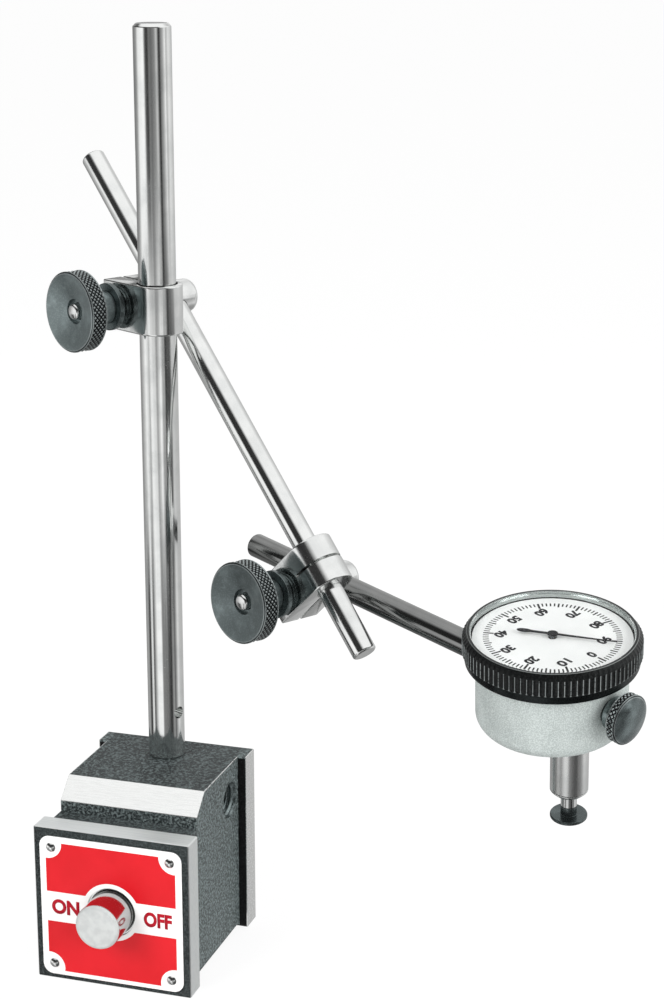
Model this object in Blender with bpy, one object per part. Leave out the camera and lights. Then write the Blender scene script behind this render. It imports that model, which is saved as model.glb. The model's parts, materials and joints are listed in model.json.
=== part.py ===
"""A plunger dial indicator on a jointed stand with a push-button magnetic base.

Metres, +Z up. The origin lies on the ground under the middle of the front pole plate, +Y runs from that plate to
the rear pole, and +X to the right of someone who faces the label.
"""

import math

import bmesh
import bpy
from mathutils import Matrix, Vector

# Gaps
SEAT_GAP = 0.0002
RUNNING_GAP = 0.0001
OVERRUN = 0.001

# Base: the front plate is centred on the origin's plane, the rear flange ends the depth
BASE_DEPTH = 0.0488
PLATE_WIDTH = 0.0421
FRONT_PLATE_HEIGHT = 0.0417
FRONT_PLATE_THICKNESS = 0.0066
REAR_FLANGE_HEIGHT = 0.0490
REAR_FLANGE_THICKNESS = 0.0065
BODY_WIDTH = 0.0375
BODY_LIFT = 0.0012
SPACER_THICKNESS = 0.0054
SPACER_TOP = 0.0412
GROUND_FACE_DEPTH = 0.0056
GROUND_FACE_DROP = 0.00495
PLATE_CHAMFER = 0.0003

# Label, its rivets and the screws that it hides
LABEL_WIDTH = 0.0385
LABEL_LOW = 0.00145
LABEL_HIGH = 0.0396
LABEL_CORNER = 0.0027
LABEL_THICKNESS = 0.0004
LABEL_HOLE_RADIUS = 0.0066
RIVET_ACROSS = 0.0161
RIVET_HIGH = 0.0366
RIVET_LOW = 0.00455
RIVET_HEAD_RADIUS = 0.0013
RIVET_HEAD_HEIGHT = 0.0006
RIVET_SHANK_RADIUS = 0.0007
RIVET_LENGTH = 0.0035
SCREW_ACROSS = 0.0130
SCREW_HIGH = 0.0330
SCREW_LOW = 0.0088
SCREW_RADIUS = 0.0016
SCREW_HEAD_RADIUS = 0.0028
SCREW_HEAD_HEIGHT = 0.0030
SCREW_LENGTH = 0.0210
SCREW_SOCKET_RADIUS = 0.0014
SCREW_SOCKET_DEPTH = 0.0016

# Push button with the magnets on its rod
BUTTON_HEIGHT = 0.0209
BUTTON_RADIUS = 0.0059
BUTTON_PROUD = 0.0099
BUTTON_HEAD_LENGTH = 0.0120
BUTTON_EDGE = 0.0009
BUTTON_TRAVEL = 0.0100
ROD_RADIUS = 0.0032
COLLAR_RADIUS = 0.0050
COLLAR_THICKNESS = 0.0016
MAGNET_RADIUS = 0.0110
MAGNET_THICKNESS = 0.0070
KEEPER_THICKNESS = 0.0030
MAGNET_NUT_RADIUS = 0.0056
MAGNET_NUT_THICKNESS = 0.0020
CHAMBER_RADIUS = 0.0120
FRONT_BUSH_RADIUS = 0.0080
REAR_BUSH_RADIUS = 0.0052

# Side socket in the base body for a second post
SOCKET_SETBACK = 0.0128
SOCKET_HEIGHT = 0.0392
SOCKET_RADIUS = 0.0048
SOCKET_DEPTH = 0.0110

# Upright post
POST_SETBACK = 0.00967
POST_RADIUS = 0.00475
POST_TOP = 0.2390
POST_CHAMFER = 0.0008
POST_FOOT_RADIUS = 0.0043
POST_FOOT_LENGTH = 0.0127
TOMMY_HEIGHT = 0.0616
TOMMY_RADIUS = 0.0016
TOMMY_TURN = math.radians(-22.6)

# Arm rods: a rod reaches back from its eye, and the upper one beyond the clamp that it carries
ARM_RADIUS = 0.0031
ARM_CHAMFER = 0.0004
UPPER_ROD_BACK = 0.04635
UPPER_ROD_BEYOND = 0.02474
LOWER_ROD_BACK = 0.0289

# Snug clamps, both alike but for the bore and the saw slot
CLAMP_HALF_WIDTH = 0.0060
CLAMP_NOSE = 0.0006
CLAMP_TAIL = 0.0148
CLAMP_LENGTH = 0.0124
CLAMP_SLIT = 0.0009
SAW_SLOT = 0.0007
SAW_SLOT_REACH = 0.0020
STUD_OFFSET = 0.0097
STUD_RADIUS = 0.00205
EYE_RADIUS = 0.00435
EYE_REACH = 0.0065
EYE_EDGE = 0.0012
EYE_OFFSET = 0.0114
KNOB_FACE = 0.02046
KNOB_RADIUS = 0.01016
KNOB_RIM = 0.0049
KNOB_EDGE = 0.0005
KNOB_DISH = 0.0018
KNOB_RECESS_RADIUS = 0.0031
KNOB_RECESS_DEPTH = 0.0012
HUB_RADIUS = 0.00415
WASHER_RADIUS = 0.0060
WASHER_THICKNESS = 0.0015
WASHER_SETBACK = 0.0116
WASHER_BOSS_RADIUS = 0.0046
STUD_END_SETBACK = 0.0010

# How the joints stand in the photographed pose
POST_CLAMP_HEIGHT = 0.1688
POST_CLAMP_TURN = math.radians(59.66)
UPPER_ROD_TILT = math.radians(-46.24)
ARM_CLAMP_REACH = 0.08306
ARM_CLAMP_ROLL = math.radians(-2.66)
LOWER_ROD_TILT = math.radians(-6.48)
INDICATOR_REACH = 0.0741
INDICATOR_ROLL = math.radians(8.71)
HAND_READING = 92
DIAL_DIVISIONS = 100

# Indicator: heights are above the axis of the rod that carries it
OPENING_HEIGHT = 0.01409
OPENING_RADIUS = 0.0189
BEZEL_RADIUS = 0.0207
BEZEL_RIM_RADIUS = 0.0196
BEZEL_KNURL_TOP = 0.0015
BEZEL_DEPTH = 0.0055
BEZEL_WALL = 0.00135
BEZEL_LEDGE = 0.0003
LOWER_RING_RADIUS = 0.02013
LOWER_RING_DEPTH = 0.00756
CRYSTAL_THICKNESS = 0.0006
CRYSTAL_RISE = 0.0006
DIAL_DEPTH = 0.0018
DIAL_THICKNESS = 0.0005
DIAL_HOLE_RADIUS = 0.0010
HAND_RISE = 0.0008
HAND_THICKNESS = 0.00015
HAND_REACH = 0.0149
HAND_TAIL = 0.0084
HAND_HUB_RADIUS = 0.00125
HAND_WIDTH = 0.00042
HAND_SPADE_WIDTH = 0.0012
HAND_SPADE_LENGTH = 0.0030
CASE_RADIUS = 0.01768
CASE_DEPTH = 0.0244
CASE_FILLET = 0.0035
CASE_WALL = 0.0015
CASE_FLOOR = 0.0018
CASE_FLANGE_RADIUS = 0.0184
CASE_FLANGE_THICKNESS = 0.0007
CROSS_TUBE_RADIUS = 0.0032
CROSS_TUBE_PROUD = 0.0005
SHANK_RADIUS = 0.0020
CLAMP_KNOB_FACE = 0.02437
CLAMP_KNOB_RADIUS = 0.0060
CLAMP_KNOB_THICKNESS = 0.0059
CLAMP_KNOB_DOME = 0.0008
CLAMP_KNOB_EDGE = 0.0004
CLAMP_KNOB_BORE_DEPTH = 0.0044

# Stem and spindle, beside the case's centre
STEM_OFFSET = 0.0067
STEM_RADIUS = 0.0046
STEM_END_DEPTH = 0.0469
STEM_BORE_RADIUS = 0.0029
STEM_NECK_RADIUS = 0.0036
STEM_NUT_RADIUS = 0.0050
STEM_NUT_THICKNESS = 0.0014
STEM_TOP_WALL = 0.0012
END_BUSH_THICKNESS = 0.0013
END_BUSH_CHAMFER = 0.0010
END_BUSH_SPIGOT = 0.0020
SPINDLE_RADIUS = 0.00195
SPINDLE_COLLAR_RADIUS = 0.0027
SPINDLE_COLLAR_LENGTH = 0.0018
SPINDLE_TOP = -0.0005
SPINDLE_CONE = 0.0014
SPINDLE_TIP_RADIUS = 0.0003
SPINDLE_TRAVEL = 0.00508
TRAVEL_PER_TURN = 0.00254
CONTACT_DROP = 0.0069
CONTACT_RADIUS = 0.0045
CONTACT_THICKNESS = 0.0009
CONTACT_NECK = 0.0023
CONTACT_SCREW_RADIUS = 0.0009
CONTACT_SCREW_LENGTH = 0.0030
SPRING_WIRE = 0.00035
SPRING_RADIUS = 0.00243
SPRING_TURNS = 8

# Movement inside the case
LEDGE_HEIGHT = 0.0034
PLATE_RADIUS = 0.0162
MOVEMENT_PLATE = 0.0008
UPPER_PLATE_HEIGHT = 0.0092
PILLAR_RADIUS = 0.0011
PILLAR_CIRCLE_RADIUS = 0.0135
PILLAR_TURNS = (math.radians(200), math.radians(265), math.radians(330))
ARBOR_RADIUS = 0.0005
GEAR_MODULE = 0.00025
PINION_TEETH = 10
WHEEL_TEETH = 40
SECTOR_TEETH = 60
TOOTH_SHARE = 0.34
TOOTH_TIP_SHARE = 0.16
ADDENDUM_SHARE = 0.8
DEDENDUM_SHARE = 1.15
SECTOR_LEVEL = 0.0054
SECTOR_THICKNESS = 0.0006
WHEEL_LEVEL = 0.0072
WHEEL_THICKNESS = 0.0006
PINION_LENGTH = 0.0011
SECTOR_HUB_RADIUS = 0.0013
SECTOR_SPARE_TEETH = 2
CRANK_ARM = 0.0062
CRANK_FINGER = 0.0032
CRANK_HUB_RADIUS = 0.0011
CRANK_THICKNESS = 0.0010
CRANK_SIDE = -0.0010
CRANK_NOSE_RADIUS = 0.0004
CRANK_ARM_WIDTH = 0.0008
CRANK_PIN_RADIUS = 0.0005
CRANK_LUG_THICKNESS = 0.0008
FINGER_GAP = 0.0003
TAIL_WIDTH = 0.0008

# Sides of round pieces
FINE_SIDES = 40
ROUND_SIDES = 24
SMALL_SIDES = 14
TINY_SIDES = 10
FILLET_STEPS = 4
SPRING_STEPS = 8
SHARP_ANGLE = math.radians(32)

# Materials: colour, roughness, metallic
CRINKLE_PAINT = ("crinkle_paint", (0.035, 0.04, 0.042), 0.55, 0.2)
GROUND_STEEL = ("ground_steel", (0.72, 0.72, 0.71), 0.35, 1.0)
POLISHED_STEEL = ("polished_steel", (0.62, 0.63, 0.64), 0.12, 1.0)
BLACK_STEEL = ("black_steel", (0.03, 0.034, 0.035), 0.35, 0.6)
SATIN_CASE = ("satin_case", (0.60, 0.62, 0.61), 0.4, 0.7)
WHITE_ENAMEL = ("white_enamel", (0.85, 0.85, 0.84), 0.4, 0.0)
LABEL_RED = ("label_red", (0.75, 0.03, 0.04), 0.35, 0.0)
BLACK_ENAMEL = ("black_enamel", (0.01, 0.01, 0.01), 0.4, 0.0)
CLEAR_CRYSTAL = ("clear_crystal", (0.9, 0.92, 0.92), 0.05, 0.0)
BRASS = ("brass", (0.70, 0.52, 0.22), 0.3, 1.0)
MAGNET_GREY = ("magnet_grey", (0.12, 0.12, 0.13), 0.5, 0.4)

# Turns that lay a piece made along +Z along another axis
ALONG_X = Matrix.Rotation(math.radians(90), 4, "Y")
ALONG_Y = Matrix.Rotation(math.radians(-90), 4, "X")
# A side view drawn as (y, z) points and extruded along x
SIDE_VIEW = Matrix(((0, 0, 1, 0), (1, 0, 0, 0), (0, 1, 0, 0), (0, 0, 0, 1)))
# A front view drawn as (x, z) points and extruded along y, from back to front
FRONT_VIEW = Matrix.Rotation(math.radians(90), 4, "X")


class Frame:
    """An empty at a joint or datum, which carries the pieces that move with it."""

    def __init__(self, name, place, parent=None):
        self.place = place
        self.empty = bpy.data.objects.new(name, None)
        self.empty.empty_display_size = CLAMP_LENGTH
        bpy.context.scene.collection.objects.link(self.empty)
        if parent:
            self.empty.parent = parent.empty
            self.empty.matrix_basis = parent.place.inverted() @ place
        else:
            self.empty.matrix_basis = place

    def add(self, name, mesh, finish, place=Matrix.Identity(4)):
        """A node with this mesh, placed within the frame."""
        mesh.name = name
        item = bpy.data.objects.new(name, mesh)
        bpy.context.scene.collection.objects.link(item)
        item.parent = self.empty
        item.matrix_basis = place
        mesh.materials.append(material_of(*finish))
        return item


def material_of(name, colour, roughness, metallic):
    """The named Principled material, made at its first use."""
    if name in bpy.data.materials:
        return bpy.data.materials[name]
    made = bpy.data.materials.new(name)
    made.use_nodes = True
    shader = made.node_tree.nodes["Principled BSDF"]
    shader.inputs["Base Color"].default_value = (*colour, 1.0)
    shader.inputs["Roughness"].default_value = roughness
    shader.inputs["Metallic"].default_value = metallic
    return made


def finished(shape):
    """The mesh of a bmesh, with its faces outwards and its round faces smooth."""
    bmesh.ops.recalc_face_normals(shape, faces=shape.faces)
    mesh = bpy.data.meshes.new("shape")
    shape.to_mesh(mesh)
    shape.free()
    mesh.shade_smooth()
    mesh.set_sharp_from_angle(angle=SHARP_ANGLE)
    return mesh


def bridge(shape, ring, following):
    """Faces between two rings of vertices, where a ring of one vertex is a tip."""
    count = max(len(ring), len(following))
    if count == 1:
        return
    for here in range(count):
        after = (here + 1) % count
        corners = [ring[here % len(ring)], ring[after % len(ring)]]
        corners += [following[after % len(following)], following[here % len(following)]]
        shape.faces.new(list(dict.fromkeys(corners)))


def turned(outline, sides=ROUND_SIDES):
    """A closed outline of (radius, height) points spun about Z."""
    shape = bmesh.new()
    rings = []
    for radius, height in outline:
        count = sides if radius else 1
        turns = [2 * math.pi * step / count for step in range(count)]
        rings.append([shape.verts.new((radius * math.cos(t), radius * math.sin(t), height)) for t in turns])
    for ring, following in zip(rings, rings[1:] + rings[:1]):
        bridge(shape, ring, following)
    return finished(shape)


def prism(outline, low, high):
    """An outline of (x, y) points extruded along Z."""
    shape = bmesh.new()
    bottom = [shape.verts.new((x, y, low)) for x, y in outline]
    top = [shape.verts.new((x, y, high)) for x, y in outline]
    shape.faces.new(bottom[::-1])
    shape.faces.new(top)
    bridge(shape, bottom, top)
    return finished(shape)


def rod(radius, low, high, sides=ROUND_SIDES):
    """A plain cylinder along Z."""
    return turned([(0, low), (radius, low), (radius, high), (0, high)], sides)


def tube(bore, radius, low, high, sides=ROUND_SIDES):
    """A cylinder along Z with a bore."""
    return turned([(bore, low), (radius, low), (radius, high), (bore, high)], sides)


def arc(centre, radius, start, end, steps):
    """Points along an arc, both ends included."""
    turns = [start + (end - start) * step / steps for step in range(steps + 1)]
    return [(centre[0] + radius * math.cos(t), centre[1] + radius * math.sin(t)) for t in turns]


def rectangle(x_low, x_high, y_low, y_high):
    return [(x_low, y_low), (x_high, y_low), (x_high, y_high), (x_low, y_high)]


def rounded_rectangle(x_low, x_high, y_low, y_high, radius):
    """The outline of a rectangle with round corners, counterclockwise."""
    corners = [(x_high, y_high), (x_low, y_high), (x_low, y_low), (x_high, y_low)]
    middle = ((x_low + x_high) / 2, (y_low + y_high) / 2)
    points = []
    for number, (x, y) in enumerate(corners):
        centre = (x + math.copysign(radius, middle[0] - x), y + math.copysign(radius, middle[1] - y))
        start = number * math.pi / 2
        points += arc(centre, radius, start, start + math.pi / 2, FILLET_STEPS)
    return points


def helper(item, mesh, place, operation):
    """A hidden shape that a Boolean takes from the item or joins to it."""
    other = bpy.data.objects.new(item.name + "_helper", mesh)
    bpy.context.scene.collection.objects.link(other)
    other.parent = item
    other.matrix_basis = place
    other.hide_render = True
    other.display_type = "WIRE"
    boolean = item.modifiers.new("shape", "BOOLEAN")
    boolean.operation = operation
    boolean.object = other
    boolean.solver = "EXACT"


def cut(item, mesh, place=Matrix.Identity(4)):
    helper(item, mesh, place, "DIFFERENCE")


def join(item, mesh, place=Matrix.Identity(4)):
    helper(item, mesh, place, "UNION")


def soften(item, width):
    """A small chamfer on every sharp edge."""
    bevel = item.modifiers.new("edges", "BEVEL")
    bevel.width = width
    bevel.segments = 1
    bevel.limit_method = "ANGLE"
    bevel.angle_limit = math.radians(60)


def placed(origin, x_axis, y_axis, z_axis):
    """The matrix of a frame with these axes."""
    place = Matrix((x_axis, y_axis, z_axis)).transposed().to_4x4()
    place.translation = origin
    return place


def framed(origin, across, along):
    """A frame with Y across, Z along, and X square to both."""
    return placed(origin, across.cross(along), across, along)


def tilted(across, tilt):
    """The direction square to a level or near-level stud axis, tilted up from level."""
    level = across.cross(Vector((0, 0, 1))).normalized()
    rise = level.cross(across)
    return level * math.cos(tilt) + rise * math.sin(tilt)


def turned_about(vector, axis, angle):
    """A vector square to the axis, turned about it."""
    return vector * math.cos(angle) + axis.cross(vector) * math.sin(angle)


# Places of the base, all from its driving sizes
FRONT_FACE = -FRONT_PLATE_THICKNESS / 2
FRONT_BACK = FRONT_PLATE_THICKNESS / 2
BODY_FRONT = FRONT_BACK + SPACER_THICKNESS
REAR_FACE = FRONT_FACE + BASE_DEPTH
FLANGE_FRONT = REAR_FACE - REAR_FLANGE_THICKNESS
POST_PLACE = REAR_FACE - POST_SETBACK
SOCKET_PLACE = REAR_FACE - SOCKET_SETBACK
BUTTON_AXIS = Matrix.Translation((0, 0, BUTTON_HEIGHT)) @ ALONG_Y
STACK_START = BODY_FRONT + SEAT_GAP * 2


def corner_places(across, low, high):
    """Four places in front view, at both heights on both sides."""
    return [(side * across, height) for height in (high, low) for side in (-1, 1)]


def make_front_plate(base):
    half = PLATE_WIDTH / 2
    outline = rectangle(-half, half, 0, FRONT_PLATE_HEIGHT)
    plate = base.add("front_pole_plate", prism(outline, -FRONT_BACK, -FRONT_FACE), GROUND_STEEL, FRONT_VIEW)
    soften(plate, PLATE_CHAMFER)
    reach = FRONT_PLATE_THICKNESS + OVERRUN
    bush_hole = rod(FRONT_BUSH_RADIUS + SEAT_GAP, -reach, reach)
    cut(plate, bush_hole, Matrix.Translation((0, BUTTON_HEIGHT, 0)))
    for x, z in corner_places(RIVET_ACROSS, RIVET_LOW, RIVET_HIGH):
        hole = rod(RIVET_SHANK_RADIUS + SEAT_GAP, -RIVET_LENGTH - FRONT_FACE, reach, TINY_SIDES)
        cut(plate, hole, Matrix.Translation((x, z, 0)))
    for x, z in corner_places(SCREW_ACROSS, SCREW_LOW, SCREW_HIGH):
        cut(plate, screw_hole(reach), Matrix.Translation((x, z, 0)))


def screw_hole(reach):
    """A counterbored hole, drawn from the back of the plate to its front."""
    narrow = SCREW_RADIUS + SEAT_GAP
    wide = SCREW_HEAD_RADIUS + SEAT_GAP
    seat = -FRONT_FACE - SCREW_HEAD_HEIGHT - SEAT_GAP * 2
    return turned([(0, -reach), (narrow, -reach), (narrow, seat), (wide, seat), (wide, reach), (0, reach)], SMALL_SIDES)


def make_spacer(base):
    half = BODY_WIDTH / 2
    outline = rectangle(-half, half, BODY_LIFT, SPACER_TOP)
    low, high = FRONT_BACK + SEAT_GAP, BODY_FRONT - SEAT_GAP
    spacer = base.add("spacer", prism(outline, -high, -low), CRINKLE_PAINT, FRONT_VIEW)
    bore = rod(BUTTON_RADIUS + SEAT_GAP * 2, -high - OVERRUN, -low + OVERRUN)
    cut(spacer, bore, Matrix.Translation((0, BUTTON_HEIGHT, 0)))
    for x, z in corner_places(SCREW_ACROSS, SCREW_LOW, SCREW_HIGH):
        hole = rod(SCREW_RADIUS + SEAT_GAP, -high - OVERRUN, -low + OVERRUN, SMALL_SIDES)
        cut(spacer, hole, Matrix.Translation((x, z, 0)))


def body_outline():
    """The body's side view: level top, ground slope, upright front."""
    slope_top = BODY_FRONT + GROUND_FACE_DEPTH
    slope_foot = REAR_FLANGE_HEIGHT - GROUND_FACE_DROP
    back = REAR_FACE - REAR_FLANGE_THICKNESS / 2
    points = [(BODY_FRONT, BODY_LIFT), (back, BODY_LIFT), (back, REAR_FLANGE_HEIGHT)]
    return points + [(slope_top, REAR_FLANGE_HEIGHT), (BODY_FRONT, slope_foot)]


def make_body(base):
    half = BODY_WIDTH / 2
    body = base.add("base_body", prism(body_outline(), -half, half), CRINKLE_PAINT, SIDE_VIEW)
    flange = prism(rectangle(FLANGE_FRONT, REAR_FACE, 0, REAR_FLANGE_HEIGHT), -PLATE_WIDTH / 2, PLATE_WIDTH / 2)
    join(body, flange)
    within = SIDE_VIEW.inverted()
    rod_hole = REAR_BUSH_RADIUS + SEAT_GAP
    front, back, end = BODY_FRONT - OVERRUN, FLANGE_FRONT, REAR_FACE + OVERRUN
    chamber = [(0, front), (CHAMBER_RADIUS, front), (CHAMBER_RADIUS, back), (rod_hole, back), (rod_hole, end), (0, end)]
    cut(body, turned(chamber), within @ BUTTON_AXIS)
    foot_hole = rod(POST_FOOT_RADIUS + RUNNING_GAP, -POST_FOOT_LENGTH - SEAT_GAP, OVERRUN)
    cut(body, foot_hole, within @ Matrix.Translation((0, POST_PLACE, REAR_FLANGE_HEIGHT)))
    socket = rod(SOCKET_RADIUS, half - SOCKET_DEPTH, half + OVERRUN)
    cut(body, socket, within @ Matrix.Translation((0, SOCKET_PLACE, SOCKET_HEIGHT)) @ ALONG_X)
    depth = FRONT_FACE + SCREW_LENGTH + OVERRUN
    for x, z in corner_places(SCREW_ACROSS, SCREW_LOW, SCREW_HIGH):
        hole = rod(SCREW_RADIUS + SEAT_GAP, front, depth, SMALL_SIDES)
        cut(body, hole, within @ Matrix.Translation((x, 0, z)) @ ALONG_Y)


def make_label(base):
    half = LABEL_WIDTH / 2
    outline = rounded_rectangle(-half, half, LABEL_LOW, LABEL_HIGH, LABEL_CORNER)
    back = RUNNING_GAP - FRONT_FACE
    label = base.add("label_plate", prism(outline, back, back + LABEL_THICKNESS), LABEL_RED, FRONT_VIEW)
    front = back + LABEL_THICKNESS + OVERRUN
    hole = rod(LABEL_HOLE_RADIUS, back - OVERRUN, front)
    cut(label, hole, Matrix.Translation((0, BUTTON_HEIGHT, 0)))
    for x, z in corner_places(RIVET_ACROSS, RIVET_LOW, RIVET_HIGH):
        pin_hole = rod(RIVET_SHANK_RADIUS + RUNNING_GAP, back - OVERRUN, front, TINY_SIDES)
        cut(label, pin_hole, Matrix.Translation((x, z, 0)))


def rivet_mesh():
    """A domed head above the label with a shank behind it, drawn towards the front."""
    seat = RUNNING_GAP * 2 - FRONT_FACE + LABEL_THICKNESS
    dome = [
        (RIVET_HEAD_RADIUS * math.cos(turn), seat + RIVET_HEAD_HEIGHT * math.sin(turn))
        for turn in [step * math.pi / 2 / FILLET_STEPS for step in range(FILLET_STEPS)]
    ]
    tip = seat + RIVET_HEAD_HEIGHT
    foot = seat - RIVET_LENGTH
    return turned(
        [(0, foot), (RIVET_SHANK_RADIUS, foot), (RIVET_SHANK_RADIUS, seat)] + dome + [(0, tip)], TINY_SIDES
    )


def screw_mesh():
    """A cap screw, drawn towards the front, with a round drive socket."""
    top = -FRONT_FACE - SEAT_GAP
    seat = top - SCREW_HEAD_HEIGHT
    foot = top - SCREW_LENGTH
    floor = top - SCREW_SOCKET_DEPTH
    outline = [(0, foot), (SCREW_RADIUS, foot), (SCREW_RADIUS, seat), (SCREW_HEAD_RADIUS, seat)]
    outline += [(SCREW_HEAD_RADIUS, top), (SCREW_SOCKET_RADIUS, top), (SCREW_SOCKET_RADIUS, floor), (0, floor)]
    return turned(outline, SMALL_SIDES)


def make_fasteners(base):
    rivets = corner_places(RIVET_ACROSS, RIVET_LOW, RIVET_HIGH)
    for number, (x, z) in enumerate(rivets, start=1):
        place = Matrix.Translation((x, 0, z)) @ FRONT_VIEW
        base.add(f"label_rivet_{number}", rivet_mesh(), POLISHED_STEEL, place)
    screws = corner_places(SCREW_ACROSS, SCREW_LOW, SCREW_HIGH)
    for number, (x, z) in enumerate(screws, start=1):
        place = Matrix.Translation((x, 0, z)) @ FRONT_VIEW
        base.add(f"plate_screw_{number}", screw_mesh(), BLACK_STEEL, place)


def make_bushes(base):
    front = tube(BUTTON_RADIUS + RUNNING_GAP, FRONT_BUSH_RADIUS, FRONT_FACE + RUNNING_GAP, FRONT_BACK)
    base.add("front_guide_bush", front, POLISHED_STEEL, BUTTON_AXIS)
    rear = tube(ROD_RADIUS + RUNNING_GAP, REAR_BUSH_RADIUS, FLANGE_FRONT + SEAT_GAP, REAR_FACE - SEAT_GAP)
    base.add("rear_guide_bush", rear, BRASS, BUTTON_AXIS)


def button_outline():
    """Round-edged head, rod through the magnets, and the collar that they seat on."""
    face = FRONT_FACE - BUTTON_PROUD
    shoulder = face + BUTTON_HEAD_LENGTH
    edge = BUTTON_RADIUS - BUTTON_EDGE
    rim = arc((edge, face + BUTTON_EDGE), BUTTON_EDGE, math.radians(-90), 0, FILLET_STEPS)
    collar = STACK_START - COLLAR_THICKNESS
    points = [(0, face)] + rim + [(BUTTON_RADIUS, shoulder), (ROD_RADIUS, shoulder), (ROD_RADIUS, collar)]
    points += [(COLLAR_RADIUS, collar), (COLLAR_RADIUS, STACK_START), (ROD_RADIUS, STACK_START)]
    return points + [(ROD_RADIUS, REAR_FACE - SEAT_GAP), (0, REAR_FACE - SEAT_GAP)]


def make_button(base):
    button = Frame("button_slide", BUTTON_AXIS, base)
    button.add("push_button", turned(button_outline()), POLISHED_STEEL)
    stack = [
        ("magnet_ring_front", MAGNET_RADIUS, MAGNET_THICKNESS, MAGNET_GREY),
        ("magnet_keeper", MAGNET_RADIUS, KEEPER_THICKNESS, GROUND_STEEL),
        ("magnet_ring_rear", MAGNET_RADIUS, MAGNET_THICKNESS, MAGNET_GREY),
        ("magnet_nut", MAGNET_NUT_RADIUS, MAGNET_NUT_THICKNESS, BLACK_STEEL),
    ]
    place = STACK_START
    for name, radius, thickness, finish in stack:
        place += SEAT_GAP
        button.add(name, chamfered_ring(radius, place, place + thickness), finish)
        place += thickness


def chamfered_ring(radius, low, high):
    """A ring on the button's rod with its outer edges taken off."""
    chamfer = PLATE_CHAMFER
    bore = ROD_RADIUS + RUNNING_GAP
    outline = [(bore, low), (radius - chamfer, low), (radius, low + chamfer), (radius, high - chamfer)]
    return turned(outline + [(radius - chamfer, high), (bore, high)])


def make_post(base):
    """The upright with its threaded foot, its chamfered top and its tommy hole."""
    place = Matrix.Translation((0, POST_PLACE, REAR_FLANGE_HEIGHT))
    post = Frame("post_axis", place, base)
    top = POST_TOP - REAR_FLANGE_HEIGHT
    outline = [(0, -POST_FOOT_LENGTH), (POST_FOOT_RADIUS, -POST_FOOT_LENGTH), (POST_FOOT_RADIUS, SEAT_GAP)]
    outline += [(POST_RADIUS, SEAT_GAP), (POST_RADIUS, top - POST_CHAMFER), (POST_RADIUS - POST_CHAMFER, top), (0, top)]
    upright = post.add("upright_post", turned(outline), POLISHED_STEEL)
    height = Matrix.Translation((0, 0, TOMMY_HEIGHT - REAR_FLANGE_HEIGHT))
    turn = Matrix.Rotation(TOMMY_TURN, 4, "Z")
    hole = rod(TOMMY_RADIUS, -POST_RADIUS - OVERRUN, POST_RADIUS + OVERRUN, SMALL_SIDES)
    cut(upright, hole, height @ turn @ ALONG_X)
    return post


def clamp_outline(bore):
    """A split block seen along its bore: round nose, flat cheeks, slit from the tail to the bore."""
    slit = CLAMP_SLIT / 2
    slit_turn = math.asin(slit / bore)
    nose = arc((CLAMP_NOSE, 0), CLAMP_HALF_WIDTH, math.radians(-90), math.radians(90), ROUND_SIDES // 3)
    hole = arc((0, 0), bore, math.pi - slit_turn, slit_turn - math.pi, ROUND_SIDES)
    tail = [(-CLAMP_TAIL, CLAMP_HALF_WIDTH), (-CLAMP_TAIL, slit)]
    return nose + tail + hole + [(-CLAMP_TAIL, -slit), (-CLAMP_TAIL, -CLAMP_HALF_WIDTH)]


def make_clamp_block(clamp, name, bore, slotted):
    """The split block and the washer that its knob bears on. The stud crosses it at -X."""
    half = CLAMP_LENGTH / 2
    block = clamp.add(name + "_block", prism(clamp_outline(bore), -half, half), POLISHED_STEEL)
    stud_hole = rod(STUD_RADIUS + SEAT_GAP, -CLAMP_HALF_WIDTH - OVERRUN, CLAMP_HALF_WIDTH + OVERRUN, SMALL_SIDES)
    cut(block, stud_hole, Matrix.Translation((-STUD_OFFSET, 0, 0)) @ ALONG_Y)
    if slotted:
        reach = CLAMP_HALF_WIDTH + CLAMP_NOSE + OVERRUN
        slot = prism(rectangle(-SAW_SLOT_REACH, reach, -reach, reach), -SAW_SLOT / 2, SAW_SLOT / 2)
        cut(block, slot)
    front = WASHER_SETBACK - KNOB_FACE
    back = front + WASHER_THICKNESS
    seat = -CLAMP_HALF_WIDTH - RUNNING_GAP
    bore_radius = STUD_RADIUS + RUNNING_GAP
    outline = [(bore_radius, front), (WASHER_RADIUS, front), (WASHER_RADIUS, back), (WASHER_BOSS_RADIUS, back)]
    outline += [(WASHER_BOSS_RADIUS, seat), (bore_radius, seat)]
    clamp.add(name + "_washer", turned(outline), POLISHED_STEEL, Matrix.Translation((-STUD_OFFSET, 0, 0)) @ ALONG_Y)


def knob_outline():
    """A dished face with a recess round the stud, a knurled rim and a hub behind it."""
    face = -KNOB_FACE
    bore = STUD_RADIUS + RUNNING_GAP
    back = face + KNOB_RIM
    hub_end = face + WASHER_SETBACK - RUNNING_GAP
    dish = face + KNOB_DISH
    recess = dish + KNOB_RECESS_DEPTH
    lip = KNOB_RADIUS - KNOB_EDGE
    outline = [(bore, recess), (KNOB_RECESS_RADIUS, recess), (KNOB_RECESS_RADIUS, dish), (lip - KNOB_EDGE, face)]
    outline += [(lip, face), (KNOB_RADIUS, face + KNOB_EDGE), (KNOB_RADIUS, back - KNOB_EDGE), (lip, back)]
    return outline + [(HUB_RADIUS, back), (HUB_RADIUS, hub_end), (bore, hub_end)]


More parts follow.
